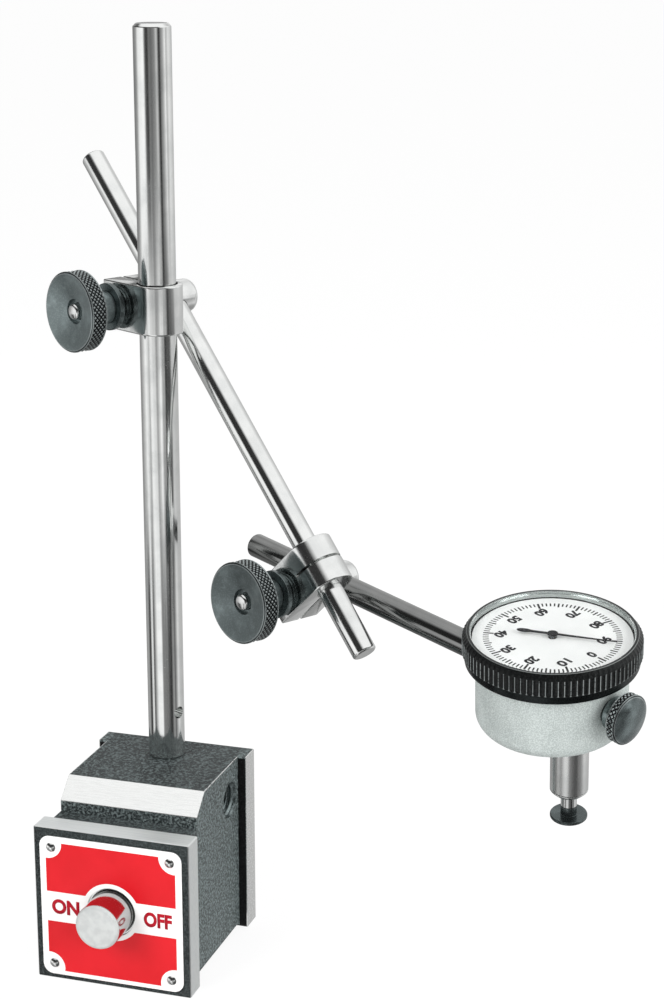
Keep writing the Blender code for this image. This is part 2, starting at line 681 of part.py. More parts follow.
def stud_outline():
    """The threaded shank through knob and block, and the eye that the next rod passes through."""
    end = -KNOB_FACE + STUD_END_SETBACK
    neck = CLAMP_HALF_WIDTH + SEAT_GAP
    tip = EYE_OFFSET + EYE_REACH
    edge = arc((EYE_RADIUS - EYE_EDGE, tip - EYE_EDGE), EYE_EDGE, 0, math.pi / 2, FILLET_STEPS)
    chamfer = STUD_RADIUS - KNOB_EDGE
    outline = [(0, end), (chamfer, end), (STUD_RADIUS, end + KNOB_EDGE), (STUD_RADIUS, neck), (EYE_RADIUS, neck)]
    return outline + edge + [(0, tip)]


def make_snug(name, place, parent, bore, slotted, along):
    """A clamp with its knob and its eye stud. It returns the frame of the rod in its eye."""
    clamp = Frame(name + "_axis", place, parent)
    make_clamp_block(clamp, name, bore, slotted)
    across = Vector(place.col[1][:3])
    origin = place @ Vector((-STUD_OFFSET, 0, 0))
    swivel = Frame(name + "_swivel", framed(origin, across, along), clamp)
    knob = Frame(name + "_knob_axis", swivel.place, swivel)
    knob.add(name + "_knob", turned(knob_outline()), BLACK_STEEL, ALONG_Y)
    stud = swivel.add(name + "_stud", turned(stud_outline(), SMALL_SIDES * 2), POLISHED_STEEL, ALONG_Y)
    eye = rod(ARM_RADIUS + RUNNING_GAP, -EYE_RADIUS - OVERRUN, EYE_RADIUS + OVERRUN)
    cut(stud, eye, ALONG_Y.inverted() @ Matrix.Translation((0, EYE_OFFSET, 0)))
    return Frame(name + "_rod", framed(origin + across * EYE_OFFSET, across, along), swivel)


def make_upper_rod(eye):
    outline = [(0, -UPPER_ROD_BACK), (ARM_RADIUS - ARM_CHAMFER, -UPPER_ROD_BACK)]
    reach = ARM_CLAMP_REACH + UPPER_ROD_BEYOND
    outline += [(ARM_RADIUS, ARM_CHAMFER - UPPER_ROD_BACK), (ARM_RADIUS, reach - ARM_CHAMFER)]
    outline += [(ARM_RADIUS - ARM_CHAMFER, reach), (0, reach)]
    eye.add("upper_arm_rod", turned(outline), POLISHED_STEEL)


def make_lower_rod(eye):
    """The rod with its end turned down, which runs through the indicator to the clamp knob."""
    tube_end = CASE_RADIUS + CROSS_TUBE_PROUD
    shoulder = INDICATOR_REACH - tube_end - SEAT_GAP
    tip = INDICATOR_REACH + tube_end + CLAMP_KNOB_BORE_DEPTH - RUNNING_GAP
    outline = [(0, -LOWER_ROD_BACK), (ARM_RADIUS - ARM_CHAMFER, -LOWER_ROD_BACK)]
    outline += [(ARM_RADIUS, ARM_CHAMFER - LOWER_ROD_BACK), (ARM_RADIUS, shoulder)]
    outline += [(SHANK_RADIUS, shoulder), (SHANK_RADIUS, tip), (0, tip)]
    eye.add("lower_arm_rod", turned(outline), POLISHED_STEEL)


# Heights within the indicator, above the rod's axis
DIAL_TOP = OPENING_HEIGHT - DIAL_DEPTH
KNURL_TOP = OPENING_HEIGHT - BEZEL_KNURL_TOP
BEZEL_FOOT = OPENING_HEIGHT - BEZEL_DEPTH
RING_FOOT = OPENING_HEIGHT - LOWER_RING_DEPTH
CASE_BOTTOM = OPENING_HEIGHT - CASE_DEPTH
FLOOR_TOP = CASE_BOTTOM + CASE_FLOOR
STEM_FOOT = OPENING_HEIGHT - STEM_END_DEPTH
CONTACT_FACE = STEM_FOOT - CONTACT_DROP
NECK_TOP = RING_FOOT + (BEZEL_FOOT - RING_FOOT) * 2
BORE_RADIUS = BEZEL_RADIUS - BEZEL_WALL - BEZEL_LEDGE
STEM_AXIS = Matrix.Translation((0, STEM_OFFSET, 0))


def case_outline():
    """A cup with a filleted foot, a ledge for the movement and a flange that holds the bezel."""
    foot = arc((CASE_RADIUS - CASE_FILLET, CASE_BOTTOM + CASE_FILLET), CASE_FILLET, -math.pi / 2, 0, FILLET_STEPS)
    flange_top = NECK_TOP + CASE_FLANGE_THICKNESS
    ledge = PLATE_RADIUS - CASE_WALL / 2
    mouth = PLATE_RADIUS + SEAT_GAP
    points = [(0, CASE_BOTTOM)] + foot + [(CASE_RADIUS, NECK_TOP), (CASE_FLANGE_RADIUS, NECK_TOP)]
    points += [(CASE_FLANGE_RADIUS, flange_top), (mouth, flange_top), (mouth, LEDGE_HEIGHT)]
    return points + [(ledge, LEDGE_HEIGHT), (ledge, FLOOR_TOP), (0, FLOOR_TOP)]


def make_case(indicator):
    case = indicator.add("indicator_case", turned(case_outline(), FINE_SIDES), SATIN_CASE)
    across = CASE_RADIUS + OVERRUN
    cut(case, rod(CROSS_TUBE_RADIUS + RUNNING_GAP, -across, across), ALONG_X)
    neck_hole = rod(STEM_NECK_RADIUS + RUNNING_GAP, CASE_BOTTOM - OVERRUN, FLOOR_TOP + OVERRUN)
    cut(case, neck_hole, STEM_AXIS)
    end = CASE_RADIUS + CROSS_TUBE_PROUD
    cross = tube(SHANK_RADIUS + RUNNING_GAP, CROSS_TUBE_RADIUS, -end, end)
    indicator.add("cross_tube", cross, BLACK_STEEL, ALONG_X)


def make_clamp_knob(rod_frame, place):
    """The knurled nut on the turned-down end of the rod."""
    face = CLAMP_KNOB_FACE
    seat = CASE_RADIUS + CROSS_TUBE_PROUD + RUNNING_GAP
    bore = SHANK_RADIUS + RUNNING_GAP
    floor = seat + CLAMP_KNOB_BORE_DEPTH
    rim = face - CLAMP_KNOB_DOME
    inner = CLAMP_KNOB_RADIUS - CLAMP_KNOB_EDGE
    shares = [step / FILLET_STEPS for step in range(FILLET_STEPS, -1, -1)]
    dome = [(inner * share, face - CLAMP_KNOB_DOME * share**2) for share in shares]
    outline = [(bore, floor), (bore, seat), (inner, seat)]
    outline += [(CLAMP_KNOB_RADIUS, seat + CLAMP_KNOB_EDGE), (CLAMP_KNOB_RADIUS, rim - CLAMP_KNOB_EDGE)]
    knob = Frame("clamp_knob_axis", place, rod_frame)
    knob.add("clamp_knob", turned(outline + dome + [(0, floor)]), BLACK_STEEL, ALONG_X)


def bezel_outline():
    """Knurled ring: rim, crystal seat, ledge over the dial and the bore down to the lower ring."""
    seat = OPENING_HEIGHT - CRYSTAL_THICKNESS - RUNNING_GAP
    ledge = DIAL_TOP + RUNNING_GAP
    opening = OPENING_RADIUS - BEZEL_LEDGE
    outline = [(BORE_RADIUS, BEZEL_FOOT), (BEZEL_RADIUS, BEZEL_FOOT), (BEZEL_RADIUS, KNURL_TOP)]
    outline += [(BEZEL_RIM_RADIUS, OPENING_HEIGHT), (OPENING_RADIUS, OPENING_HEIGHT), (OPENING_RADIUS, seat)]
    return outline + [(opening, seat), (opening, ledge), (BORE_RADIUS, ledge)]


def lower_ring_outline():
    """The smooth ring under the knurl, with the spigot that holds it in the bezel."""
    bore = CASE_RADIUS + RUNNING_GAP
    top = BEZEL_FOOT - RUNNING_GAP
    spigot = BORE_RADIUS - RUNNING_GAP
    spigot_top = NECK_TOP - RUNNING_GAP
    outline = [(bore, RING_FOOT), (LOWER_RING_RADIUS, RING_FOOT), (LOWER_RING_RADIUS, top), (spigot, top)]
    return outline + [(spigot, spigot_top), (bore, spigot_top)]


def crystal_outline():
    """A shallow dome of even thickness with a plain edge."""
    radius = OPENING_RADIUS - RUNNING_GAP
    foot = OPENING_HEIGHT - CRYSTAL_THICKNESS
    shares = [step / FILLET_STEPS for step in range(FILLET_STEPS, 0, -1)]
    rise = [(radius * share, foot + CRYSTAL_RISE * (1 - share**2)) for share in shares]
    top = [(r, z + CRYSTAL_THICKNESS) for r, z in rise]
    crown = foot + CRYSTAL_RISE
    return rise + [(0, crown), (0, crown + CRYSTAL_THICKNESS)] + top[::-1]


def make_bezel(indicator):
    bezel = Frame("bezel_axis", indicator.place, indicator)
    bezel.add("bezel", turned(bezel_outline(), FINE_SIDES), BLACK_STEEL)
    bezel.add("bezel_ring", turned(lower_ring_outline(), FINE_SIDES), BLACK_STEEL)
    bezel.add("crystal", turned(crystal_outline(), FINE_SIDES), CLEAR_CRYSTAL)
    dial = tube(DIAL_HOLE_RADIUS, BORE_RADIUS - RUNNING_GAP, DIAL_TOP - DIAL_THICKNESS, DIAL_TOP, FINE_SIDES)
    bezel.add("dial_plate", dial, WHITE_ENAMEL)


def stem_outline():
    """A tube with a bored neck that passes through the case floor."""
    neck_top = FLOOR_TOP + SEAT_GAP + STEM_NUT_THICKNESS
    shoulder = CASE_BOTTOM - RUNNING_GAP
    foot = STEM_FOOT + END_BUSH_THICKNESS + RUNNING_GAP
    guide = SPINDLE_RADIUS + RUNNING_GAP
    stop = CASE_BOTTOM - STEM_TOP_WALL
    outline = [(guide, neck_top), (STEM_NECK_RADIUS, neck_top), (STEM_NECK_RADIUS, shoulder), (STEM_RADIUS, shoulder)]
    return outline + [(STEM_RADIUS, foot), (STEM_BORE_RADIUS, foot), (STEM_BORE_RADIUS, stop), (guide, stop)]


def end_bush_outline():
    """The chamfered ring that closes the stem, with a spigot in its bore."""
    guide = SPINDLE_RADIUS + RUNNING_GAP
    top = STEM_FOOT + END_BUSH_THICKNESS
    spigot = STEM_BORE_RADIUS - RUNNING_GAP
    edge = STEM_RADIUS - END_BUSH_CHAMFER
    outline = [(guide, STEM_FOOT), (edge, STEM_FOOT), (STEM_RADIUS, STEM_FOOT + END_BUSH_CHAMFER), (STEM_RADIUS, top)]
    return outline + [(spigot, top), (spigot, top + END_BUSH_SPIGOT), (guide, top + END_BUSH_SPIGOT)]


def make_stem(indicator):
    indicator.add("indicator_stem", turned(stem_outline()), POLISHED_STEEL, STEM_AXIS)
    indicator.add("stem_end_bush", turned(end_bush_outline()), POLISHED_STEEL, STEM_AXIS)
    low = FLOOR_TOP + SEAT_GAP
    nut = tube(STEM_NECK_RADIUS + RUNNING_GAP, STEM_NUT_RADIUS, low, low + STEM_NUT_THICKNESS, SMALL_SIDES * 2)
    indicator.add("stem_nut", nut, BRASS, STEM_AXIS)


def collar_heights():
    """Foot and top of the spindle's collar, which rests on the end bush."""
    foot = STEM_FOOT + END_BUSH_THICKNESS + END_BUSH_SPIGOT + RUNNING_GAP
    return foot, foot + SPINDLE_COLLAR_LENGTH


def spindle_outline():
    foot = CONTACT_FACE + CONTACT_THICKNESS + CONTACT_NECK + RUNNING_GAP
    collar_foot, collar_top = collar_heights()
    bore = CONTACT_SCREW_RADIUS + RUNNING_GAP
    bore_top = foot + CONTACT_SCREW_LENGTH + SEAT_GAP
    outline = [(0, bore_top), (bore, bore_top), (bore, foot), (SPINDLE_RADIUS, foot), (SPINDLE_RADIUS, collar_foot)]
    outline += [(SPINDLE_COLLAR_RADIUS, collar_foot), (SPINDLE_COLLAR_RADIUS, collar_top)]
    outline += [(SPINDLE_RADIUS, collar_top), (SPINDLE_RADIUS, SPINDLE_TOP - SPINDLE_CONE)]
    return outline + [(SPINDLE_TIP_RADIUS, SPINDLE_TOP), (0, SPINDLE_TOP)]


def contact_outline():
    """A flat disc with a dark neck and the screw that holds it in the spindle."""
    face = CONTACT_FACE
    back = face + CONTACT_THICKNESS
    neck = back + CONTACT_NECK
    edge = CONTACT_THICKNESS / 4
    tip = neck + CONTACT_SCREW_LENGTH
    outline = [(0, face), (CONTACT_RADIUS - edge, face), (CONTACT_RADIUS, face + edge), (CONTACT_RADIUS, back - edge)]
    outline += [(CONTACT_RADIUS - edge, back), (SPINDLE_RADIUS, back), (SPINDLE_RADIUS, neck)]
    return outline + [(CONTACT_SCREW_RADIUS, neck), (CONTACT_SCREW_RADIUS, tip), (0, tip)]


def spring_curve(low, high):
    """The return spring as a curve with a round bevel."""
    curve = bpy.data.curves.new("spring_path", "CURVE")
    curve.dimensions = "3D"
    curve.bevel_depth = SPRING_WIRE / 2
    curve.bevel_resolution = 0
    curve.use_fill_caps = True
    spline = curve.splines.new("POLY")
    count = SPRING_TURNS * SPRING_STEPS
    spline.points.add(count)
    for step, point in enumerate(spline.points):
        turn = 2 * math.pi * step / SPRING_STEPS
        height = low + (high - low) * step / count
        point.co = (SPRING_RADIUS * math.cos(turn), SPRING_RADIUS * math.sin(turn), height, 1)
    return curve


def make_spindle(indicator):
    spindle = Frame("spindle_slide", indicator.place @ STEM_AXIS, indicator)
    spindle.add("spindle", turned(spindle_outline()), POLISHED_STEEL)
    spindle.add("contact_button", turned(contact_outline()), BLACK_STEEL)
    low = collar_heights()[1] + SPRING_WIRE
    high = CASE_BOTTOM - STEM_TOP_WALL - SPRING_WIRE
    indicator.add("spindle_spring", spring_curve(low, high), POLISHED_STEEL, STEM_AXIS)


# Places of the movement, as seen from above the dial with the knob to the right
CRANK_SWING = 2 * math.asin(SPINDLE_TRAVEL / 2 / CRANK_ARM)
NOSE_REACH = CRANK_ARM * (1 + math.cos(CRANK_SWING / 2)) / 2
CRANK_PIVOT = Vector((CRANK_SIDE, STEM_OFFSET + NOSE_REACH))
FINGER_SWING = CRANK_FINGER * math.sin(CRANK_SWING / 2)
TURNS_OF_HAND = SPINDLE_TRAVEL / TRAVEL_PER_TURN
SECTOR_SWING = 2 * math.pi * TURNS_OF_HAND * PINION_TEETH**2 / (WHEEL_TEETH * SECTOR_TEETH)
TAIL_LENGTH = FINGER_SWING / math.sin(SECTOR_SWING / 2)
SECTOR_PIVOT = Vector((CRANK_SIDE + TAIL_LENGTH, CRANK_PIVOT.y))
CRANK_HEIGHT = SPINDLE_TOP + RUNNING_GAP + CRANK_NOSE_RADIUS + SPINDLE_TRAVEL / 2


def pitch_radius(teeth):
    return GEAR_MODULE * teeth / 2


def meeting_point(first, first_distance, second, second_distance):
    """The point to the right of the line from first to second, at these distances from them."""
    line = second - first
    along = (first_distance**2 - second_distance**2 + line.length_squared) / (2 * line.length)
    aside = math.sqrt(first_distance**2 - along**2)
    unit = line.normalized()
    return first + unit * along + Vector((unit.y, -unit.x)) * aside


WHEEL_PLACE = meeting_point(
    Vector((0, 0)),
    pitch_radius(PINION_TEETH) + pitch_radius(WHEEL_TEETH),
    SECTOR_PIVOT,
    pitch_radius(PINION_TEETH) + pitch_radius(SECTOR_TEETH),
)


def tooth_points(teeth, middle):
    """Four points round one tooth centred on this turn: root, tip, tip, root."""
    pitch = 2 * math.pi / teeth
    radius = pitch_radius(teeth)
    root = radius - GEAR_MODULE * DEDENDUM_SHARE
    tip = radius + GEAR_MODULE * ADDENDUM_SHARE
    sides = [(-TOOTH_SHARE, root), (-TOOTH_TIP_SHARE, tip), (TOOTH_TIP_SHARE, tip), (TOOTH_SHARE, root)]
    turns = [(middle + share * pitch, distance) for share, distance in sides]
    return [(distance * math.cos(turn), distance * math.sin(turn)) for turn, distance in turns]


def gear_outline(teeth, first_tooth):
    """A whole gear with a tooth centred on the turn first_tooth."""
    points = []
    for number in range(teeth):
        points += tooth_points(teeth, first_tooth + number * 2 * math.pi / teeth)
    return points


def bearing(start, end):
    return math.atan2(end.y - start.y, end.x - start.x)


def sector_outline(line):
    """A toothed blade that narrows to the hub. Teeth mesh on the line to the wheel's pinion at rest."""
    pitch = 2 * math.pi / SECTOR_TEETH
    run = round(SECTOR_SWING / pitch)
    numbers = range(-SECTOR_SPARE_TEETH, run + SECTOR_SPARE_TEETH + 1)
    first, last = line + numbers[0] * pitch, line + numbers[-1] * pitch
    points = []
    for number in numbers:
        points += tooth_points(SECTOR_TEETH, line + number * pitch)
    hub = [(SECTOR_HUB_RADIUS / 2 * math.cos(turn), SECTOR_HUB_RADIUS / 2 * math.sin(turn)) for turn in (last, first)]
    return hub[:1] + hub[1:] + points


def make_movement_plates(indicator):
    low = LEDGE_HEIGHT + SEAT_GAP
    lower = indicator.add("movement_plate_lower", rod(PLATE_RADIUS, low, low + MOVEMENT_PLATE), BRASS)
    width = CRANK_THICKNESS + SEAT_GAP * 4
    back = CRANK_PIVOT.y + CRANK_HUB_RADIUS + SEAT_GAP * 2
    window = rectangle(CRANK_SIDE - width, SPINDLE_RADIUS + SEAT_GAP, STEM_OFFSET - SPINDLE_RADIUS - SEAT_GAP, back)
    cut(lower, prism(window, low - OVERRUN, low + MOVEMENT_PLATE + OVERRUN))
    high = UPPER_PLATE_HEIGHT
    upper = indicator.add("movement_plate_upper", rod(PLATE_RADIUS, high, high + MOVEMENT_PLATE), BRASS)
    hole = rod(ARBOR_RADIUS + RUNNING_GAP, low - OVERRUN, high + MOVEMENT_PLATE + OVERRUN, TINY_SIDES)
    for place in (Vector((0, 0)), WHEEL_PLACE, SECTOR_PIVOT):
        for plate in (lower, upper):
            cut(plate, hole, Matrix.Translation((place.x, place.y, 0)))
    pillar_foot = low + MOVEMENT_PLATE + RUNNING_GAP
    for number, turn in enumerate(PILLAR_TURNS, start=1):
        place = (PILLAR_CIRCLE_RADIUS * math.cos(turn), PILLAR_CIRCLE_RADIUS * math.sin(turn), 0)
        pillar = rod(PILLAR_RADIUS, pillar_foot, high - RUNNING_GAP, SMALL_SIDES)
        indicator.add(f"movement_pillar_{number}", pillar, BRASS, Matrix.Translation(place))


def arbor(low, high):
    return rod(ARBOR_RADIUS, low, high, TINY_SIDES)


def spot(indicator, name, place):
    """A frame on a vertical arbor of the movement."""
    return Frame(name, indicator.place @ Matrix.Translation((place.x, place.y, 0)), indicator)


def make_gears(indicator):
    """Sector, intermediate wheel and centre pinion, each with a tooth in the other's gap at rest."""
    foot = LEDGE_HEIGHT + SEAT_GAP
    top = UPPER_PLATE_HEIGHT + MOVEMENT_PLATE
    to_wheel = bearing(SECTOR_PIVOT, WHEEL_PLACE)
    to_centre = bearing(WHEEL_PLACE, Vector((0, 0)))
    half_pinion = math.pi / PINION_TEETH

    sector_frame = spot(indicator, "sector_arbor", SECTOR_PIVOT)
    level = SECTOR_LEVEL
    blade = prism(sector_outline(to_wheel), level, level + SECTOR_THICKNESS)
    sector = sector_frame.add("sector_gear", blade, BRASS)
    join(sector, rod(SECTOR_HUB_RADIUS, level - SECTOR_THICKNESS / 2, level + SECTOR_THICKNESS * 1.5, SMALL_SIDES))
    join(sector, arbor(foot, top))
    tail = rectangle(-TAIL_LENGTH - TAIL_WIDTH, 0, CRANK_NOSE_RADIUS + FINGER_GAP, CRANK_NOSE_RADIUS + TAIL_WIDTH)
    rest_turn = Matrix.Rotation(SECTOR_SWING / 2, 4, "Z")
    join(sector, prism(tail, level + RUNNING_GAP, level + SECTOR_THICKNESS - RUNNING_GAP), rest_turn)

    wheel_frame = spot(indicator, "wheel_arbor", WHEEL_PLACE)
    rim = prism(gear_outline(WHEEL_TEETH, to_centre), WHEEL_LEVEL, WHEEL_LEVEL + WHEEL_THICKNESS)
    wheel = wheel_frame.add("intermediate_wheel", rim, BRASS)
    pinion_low = SECTOR_LEVEL + (SECTOR_THICKNESS - PINION_LENGTH) / 2
    driven = gear_outline(PINION_TEETH, to_wheel + math.pi + half_pinion)
    join(wheel, prism(driven, pinion_low, pinion_low + PINION_LENGTH))
    join(wheel, arbor(foot, top))

    hand_frame = spot(indicator, "hand_arbor", Vector((0, 0)))
    centre_low = WHEEL_LEVEL + (WHEEL_THICKNESS - PINION_LENGTH) / 2
    centre = gear_outline(PINION_TEETH, to_centre + math.pi + half_pinion)
    pinion = hand_frame.add("centre_arbor", prism(centre, centre_low, centre_low + PINION_LENGTH), POLISHED_STEEL)
    join(pinion, arbor(foot, DIAL_TOP + HAND_RISE - RUNNING_GAP))
    make_hand(hand_frame)


def hand_outline():
    """A tapering pointer along +X with a spade on its tail."""
    half, spade = HAND_WIDTH / 2, HAND_SPADE_WIDTH / 2
    spade_start = HAND_SPADE_LENGTH - HAND_TAIL
    upper = [(HAND_REACH, half / 2), (0, half), (spade_start, half), (spade_start - HAND_SPADE_LENGTH / 2, spade)]
    lower = [(x, -y) for x, y in upper[::-1]]
    return upper + [(-HAND_TAIL, 0)] + lower


def make_hand(frame):
    low = DIAL_TOP + HAND_RISE
    reading = Matrix.Rotation(-2 * math.pi * HAND_READING / DIAL_DIVISIONS, 4, "Z")
    hand = frame.add("main_hand", prism(hand_outline(), low, low + HAND_THICKNESS), BLACK_ENAMEL, reading)
    join(hand, rod(HAND_HUB_RADIUS, low - HAND_THICKNESS / 3, low + HAND_THICKNESS * 2, SMALL_SIDES))


def make_crank(indicator):
    """A lever that the spindle lifts and whose finger pushes the sector's tail."""
    pivot = Vector((0, CRANK_PIVOT.y, CRANK_HEIGHT))
    crank = Frame("crank_axis", indicator.place @ Matrix.Translation(pivot), indicator)
    side, thick = CRANK_SIDE, CRANK_THICKNESS / 2
    lean = CRANK_SWING / 2
    nose = (-CRANK_ARM * math.cos(lean), -CRANK_ARM * math.sin(lean))
    finger = (-CRANK_FINGER * math.sin(lean), CRANK_FINGER * math.cos(lean))
    lever = prism(lever_outline(nose, finger), side - thick, side + thick)
    crank_lever = crank.add("bell_crank", lever, BRASS, SIDE_VIEW)
    cut(crank_lever, rod(CRANK_PIN_RADIUS + RUNNING_GAP, side - thick * 2, side + thick * 2, SMALL_SIDES))
    make_crank_pin(indicator, pivot)


def lever_outline(nose, finger):
    """Two round-ended arms from a round hub, in side view, counterclockwise from under the nose."""
    flare = math.asin(CRANK_NOSE_RADIUS / CRANK_HUB_RADIUS)
    nose_turn = math.atan2(nose[1], nose[0]) % (2 * math.pi)
    finger_turn = math.atan2(finger[1], finger[0])
    quarter = math.pi / 2
    back = arc((0, 0), CRANK_HUB_RADIUS, nose_turn + flare, finger_turn - flare + 2 * math.pi, FILLET_STEPS * 2)
    front = arc((0, 0), CRANK_HUB_RADIUS, finger_turn + flare, nose_turn - flare, FILLET_STEPS)
    tips = [
        arc(tip, CRANK_NOSE_RADIUS, turn - quarter, turn + quarter, FILLET_STEPS)
        for tip, turn in ((finger, finger_turn), (nose, nose_turn))
    ]
    return back + tips[0] + front + tips[1]


def make_crank_pin(indicator, pivot):
    """The crank's pin, with the lug that hangs from the lower plate and holds it."""
    inner = CRANK_SIDE - CRANK_THICKNESS / 2 - SEAT_GAP
    outer = inner - CRANK_LUG_THICKNESS
    end = CRANK_SIDE + CRANK_THICKNESS / 2 + SEAT_GAP
    place = Matrix.Translation(pivot) @ ALONG_X
    pin_mesh = rod(CRANK_PIN_RADIUS, (outer + inner) / 2, end, TINY_SIDES)
    pin = indicator.add("bell_crank_pin", pin_mesh, POLISHED_STEEL, place)
    plate_foot = LEDGE_HEIGHT + SEAT_GAP - pivot.z
    lug = rectangle(-CRANK_HUB_RADIUS, CRANK_HUB_RADIUS, -CRANK_HUB_RADIUS, plate_foot - RUNNING_GAP)
    join(pin, prism(lug, outer, inner), ALONG_X.inverted() @ SIDE_VIEW)


def clear_scene():
    for item in list(bpy.data.objects):
        bpy.data.objects.remove(item, do_unlink=True)


def make_base():
    base = Frame("base_origin", Matrix.Identity(4))
    make_front_plate(base)
    make_spacer(base)
    make_body(base)
    make_label(base)
    make_fasteners(base)
    make_bushes(base)
    make_button(base)
    return base


def make_arm(post):
    """Post clamp, upper rod, arm clamp and lower rod. It returns the lower rod's frame."""
    stud_axis = Vector((math.cos(POST_CLAMP_TURN), math.sin(POST_CLAMP_TURN), 0))
    origin = Vector((0, POST_PLACE, POST_CLAMP_HEIGHT))
    upper_along = tilted(stud_axis, UPPER_ROD_TILT)
    place = framed(origin, stud_axis, Vector((0, 0, 1)))
    upper = make_snug("post_clamp", place, post, POST_RADIUS + RUNNING_GAP, False, upper_along)
    make_upper_rod(upper)

    second_axis = turned_about(stud_axis, upper_along, ARM_CLAMP_ROLL)
    middle = upper.place @ Vector((0, 0, ARM_CLAMP_REACH))
    lower_along = tilted(second_axis, LOWER_ROD_TILT)
    place = framed(middle, second_axis, -upper_along)
    lower = make_snug("arm_clamp", place, upper, ARM_RADIUS + RUNNING_GAP, True, lower_along)
    make_lower_rod(lower)
    return lower


def make_indicator(lower):
    along = Vector(lower.place.col[2][:3])
    level_up = (Vector((0, 0, 1)) - along * along.z).normalized()
    facing = turned_about(level_up, along, INDICATOR_ROLL)
    origin = lower.place @ Vector((0, 0, INDICATOR_REACH))
    indicator = Frame("indicator_axis", placed(origin, along, facing.cross(along), facing), lower)
    make_case(indicator)
    make_clamp_knob(lower, indicator.place)
    make_bezel(indicator)
    make_stem(indicator)
    make_spindle(indicator)
    make_movement_plates(indicator)
    make_gears(indicator)
    make_crank(indicator)


def main():
    clear_scene()
    base = make_base()
    post = make_post(base)
    make_indicator(make_arm(post))


main()
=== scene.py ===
"""Looks of a plunger dial indicator on a jointed stand with a push-button magnetic base.

Laid out as a Blender add-on and run as a script. Metres, +Z up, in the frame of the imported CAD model.
"""

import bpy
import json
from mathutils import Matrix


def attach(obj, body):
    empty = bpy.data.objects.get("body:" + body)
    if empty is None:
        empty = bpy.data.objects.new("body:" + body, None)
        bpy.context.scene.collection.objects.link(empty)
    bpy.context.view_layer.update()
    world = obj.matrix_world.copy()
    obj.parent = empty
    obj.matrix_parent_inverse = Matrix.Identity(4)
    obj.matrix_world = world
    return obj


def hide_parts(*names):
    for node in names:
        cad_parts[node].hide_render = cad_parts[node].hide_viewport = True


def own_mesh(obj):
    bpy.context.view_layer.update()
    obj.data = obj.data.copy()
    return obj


bl_info = {
    "name": "Dial Indicator on a Magnetic Stand",
    "version": (1, 0, 0),
    "blender": (4, 5, 0),
    "location": "View3D > Sidebar > Indicator Stand",
    "description": "Finished pieces, materials and studio for a dial indicator on its stand",
    "category": "Add Mesh",
}

import json
import math

import bmesh
import bpy
import numpy as np
from mathutils import Matrix, Vector

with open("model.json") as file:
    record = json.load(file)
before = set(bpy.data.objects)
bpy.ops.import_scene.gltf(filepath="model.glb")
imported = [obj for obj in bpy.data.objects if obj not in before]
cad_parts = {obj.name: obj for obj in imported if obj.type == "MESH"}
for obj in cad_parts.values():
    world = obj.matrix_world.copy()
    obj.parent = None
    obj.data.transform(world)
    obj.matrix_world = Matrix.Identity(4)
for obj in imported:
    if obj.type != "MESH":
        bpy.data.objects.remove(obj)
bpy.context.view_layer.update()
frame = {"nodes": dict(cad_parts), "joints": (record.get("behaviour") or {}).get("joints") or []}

FULL_TURN = 2 * math.pi
QUARTER = math.pi / 2

# Base
PLATE_FACE = 0.0033
BODY_HALF_WIDTH = 0.01875
PLATE_HALF_WIDTH = 0.02105
BODY_TOP = 0.0490
SLOPE_FRONT = (0.0087, 0.04405)
SLOPE_BACK = (0.0143, 0.0490)
FLANGE_FRONT = 0.0390
REAR_FACE = 0.0455
LABEL_LOW, LABEL_HIGH = 0.00145, 0.0396
LABEL_HALF_WIDTH = 0.01925
LABEL_CORNER = 0.0027
LABEL_HOLE = 0.0066
LABEL_BACK = -0.0034
LABEL_FRONT = -0.0038
RIVET_ACROSS, RIVET_LOW, RIVET_HIGH = 0.0161, 0.00455, 0.0366
BUTTON_HEIGHT = 0.0209
BUTTON_RADIUS = 0.0059
SOCKET_PLACE = (0.0327, 0.0392)
SOCKET_RADIUS = 0.0048
SOCKET_DEPTH = 0.0110
THREAD_DEPTH = 0.0006

# The label's red fields, its white band and ring, and its words
FIELD_HALF_WIDTH = 0.0176
FIELD_LOW, FIELD_HIGH = 0.0026, 0.0380
FIELD_CORNER = 0.0041
BAND_LEVEL = 0.0204
BAND_HALF_HEIGHT = 0.0041
WHITE_RING_RADIUS = 0.0078
WORDS = (("ON", -0.0125), ("OFF", 0.0127))
WORD_SIZE = (0.0076, 0.0041)
WORD_LEVEL = 0.0205
WORD_WEIGHT = 0.045
PRINT_THICKNESS = 0.00004

# Depth of the enamel's crinkles
CRINKLE_DEPTH = 0.00030

# Push button, heights along its axis from the front plate's middle
BUTTON_FACE, BUTTON_BACK = -0.0132, -0.0012
BUTTON_EDGE = 0.0011
BUTTON_ROD_RADIUS = 0.0032
BUTTON_ROD_END = 0.0453
BUTTON_COLLAR_RADIUS = 0.0050
BUTTON_COLLAR_ENDS = (0.0075, 0.0091)
BUSH_RADII = (0.0060, 0.0080)
BUSH_ENDS = (-0.0032, 0.0033)

# Posts, rods and snug clamps
POST_PLACE = 0.03583
POST_RADIUS = 0.00475
POST_TOP = 0.2390
POST_CHAMFER = 0.0008
POST_FOOT_RADIUS = 0.0043
POST_FOOT_DEPTH = 0.0127
TOMMY_RADIUS = 0.0016
TOMMY_HEIGHT = 0.0616
TOMMY_TURN = math.radians(-22.6)
ARM_RADIUS = 0.0031
ARM_CHAMFER = 0.0004
ROD_LIMITS = {"upper": (-0.04635, 0.1078), "lower": (-0.0289, 0.05572)}
SHANK_RADIUS = 0.0020
SHANK_TIP = 0.09658
CLAMP_HALF_WIDTH = 0.0060
CLAMP_NOSE = 0.0006
CLAMP_TAIL = 0.0148
CLAMP_HALF_LENGTH = 0.0062
CLAMP_SLIT = 0.0009
SAW_SLOT = 0.0007
STUD_OFFSET = 0.0097
STUD_RADIUS = 0.00205
EYE_RADIUS = 0.00435
EYE_TIP = 0.0179
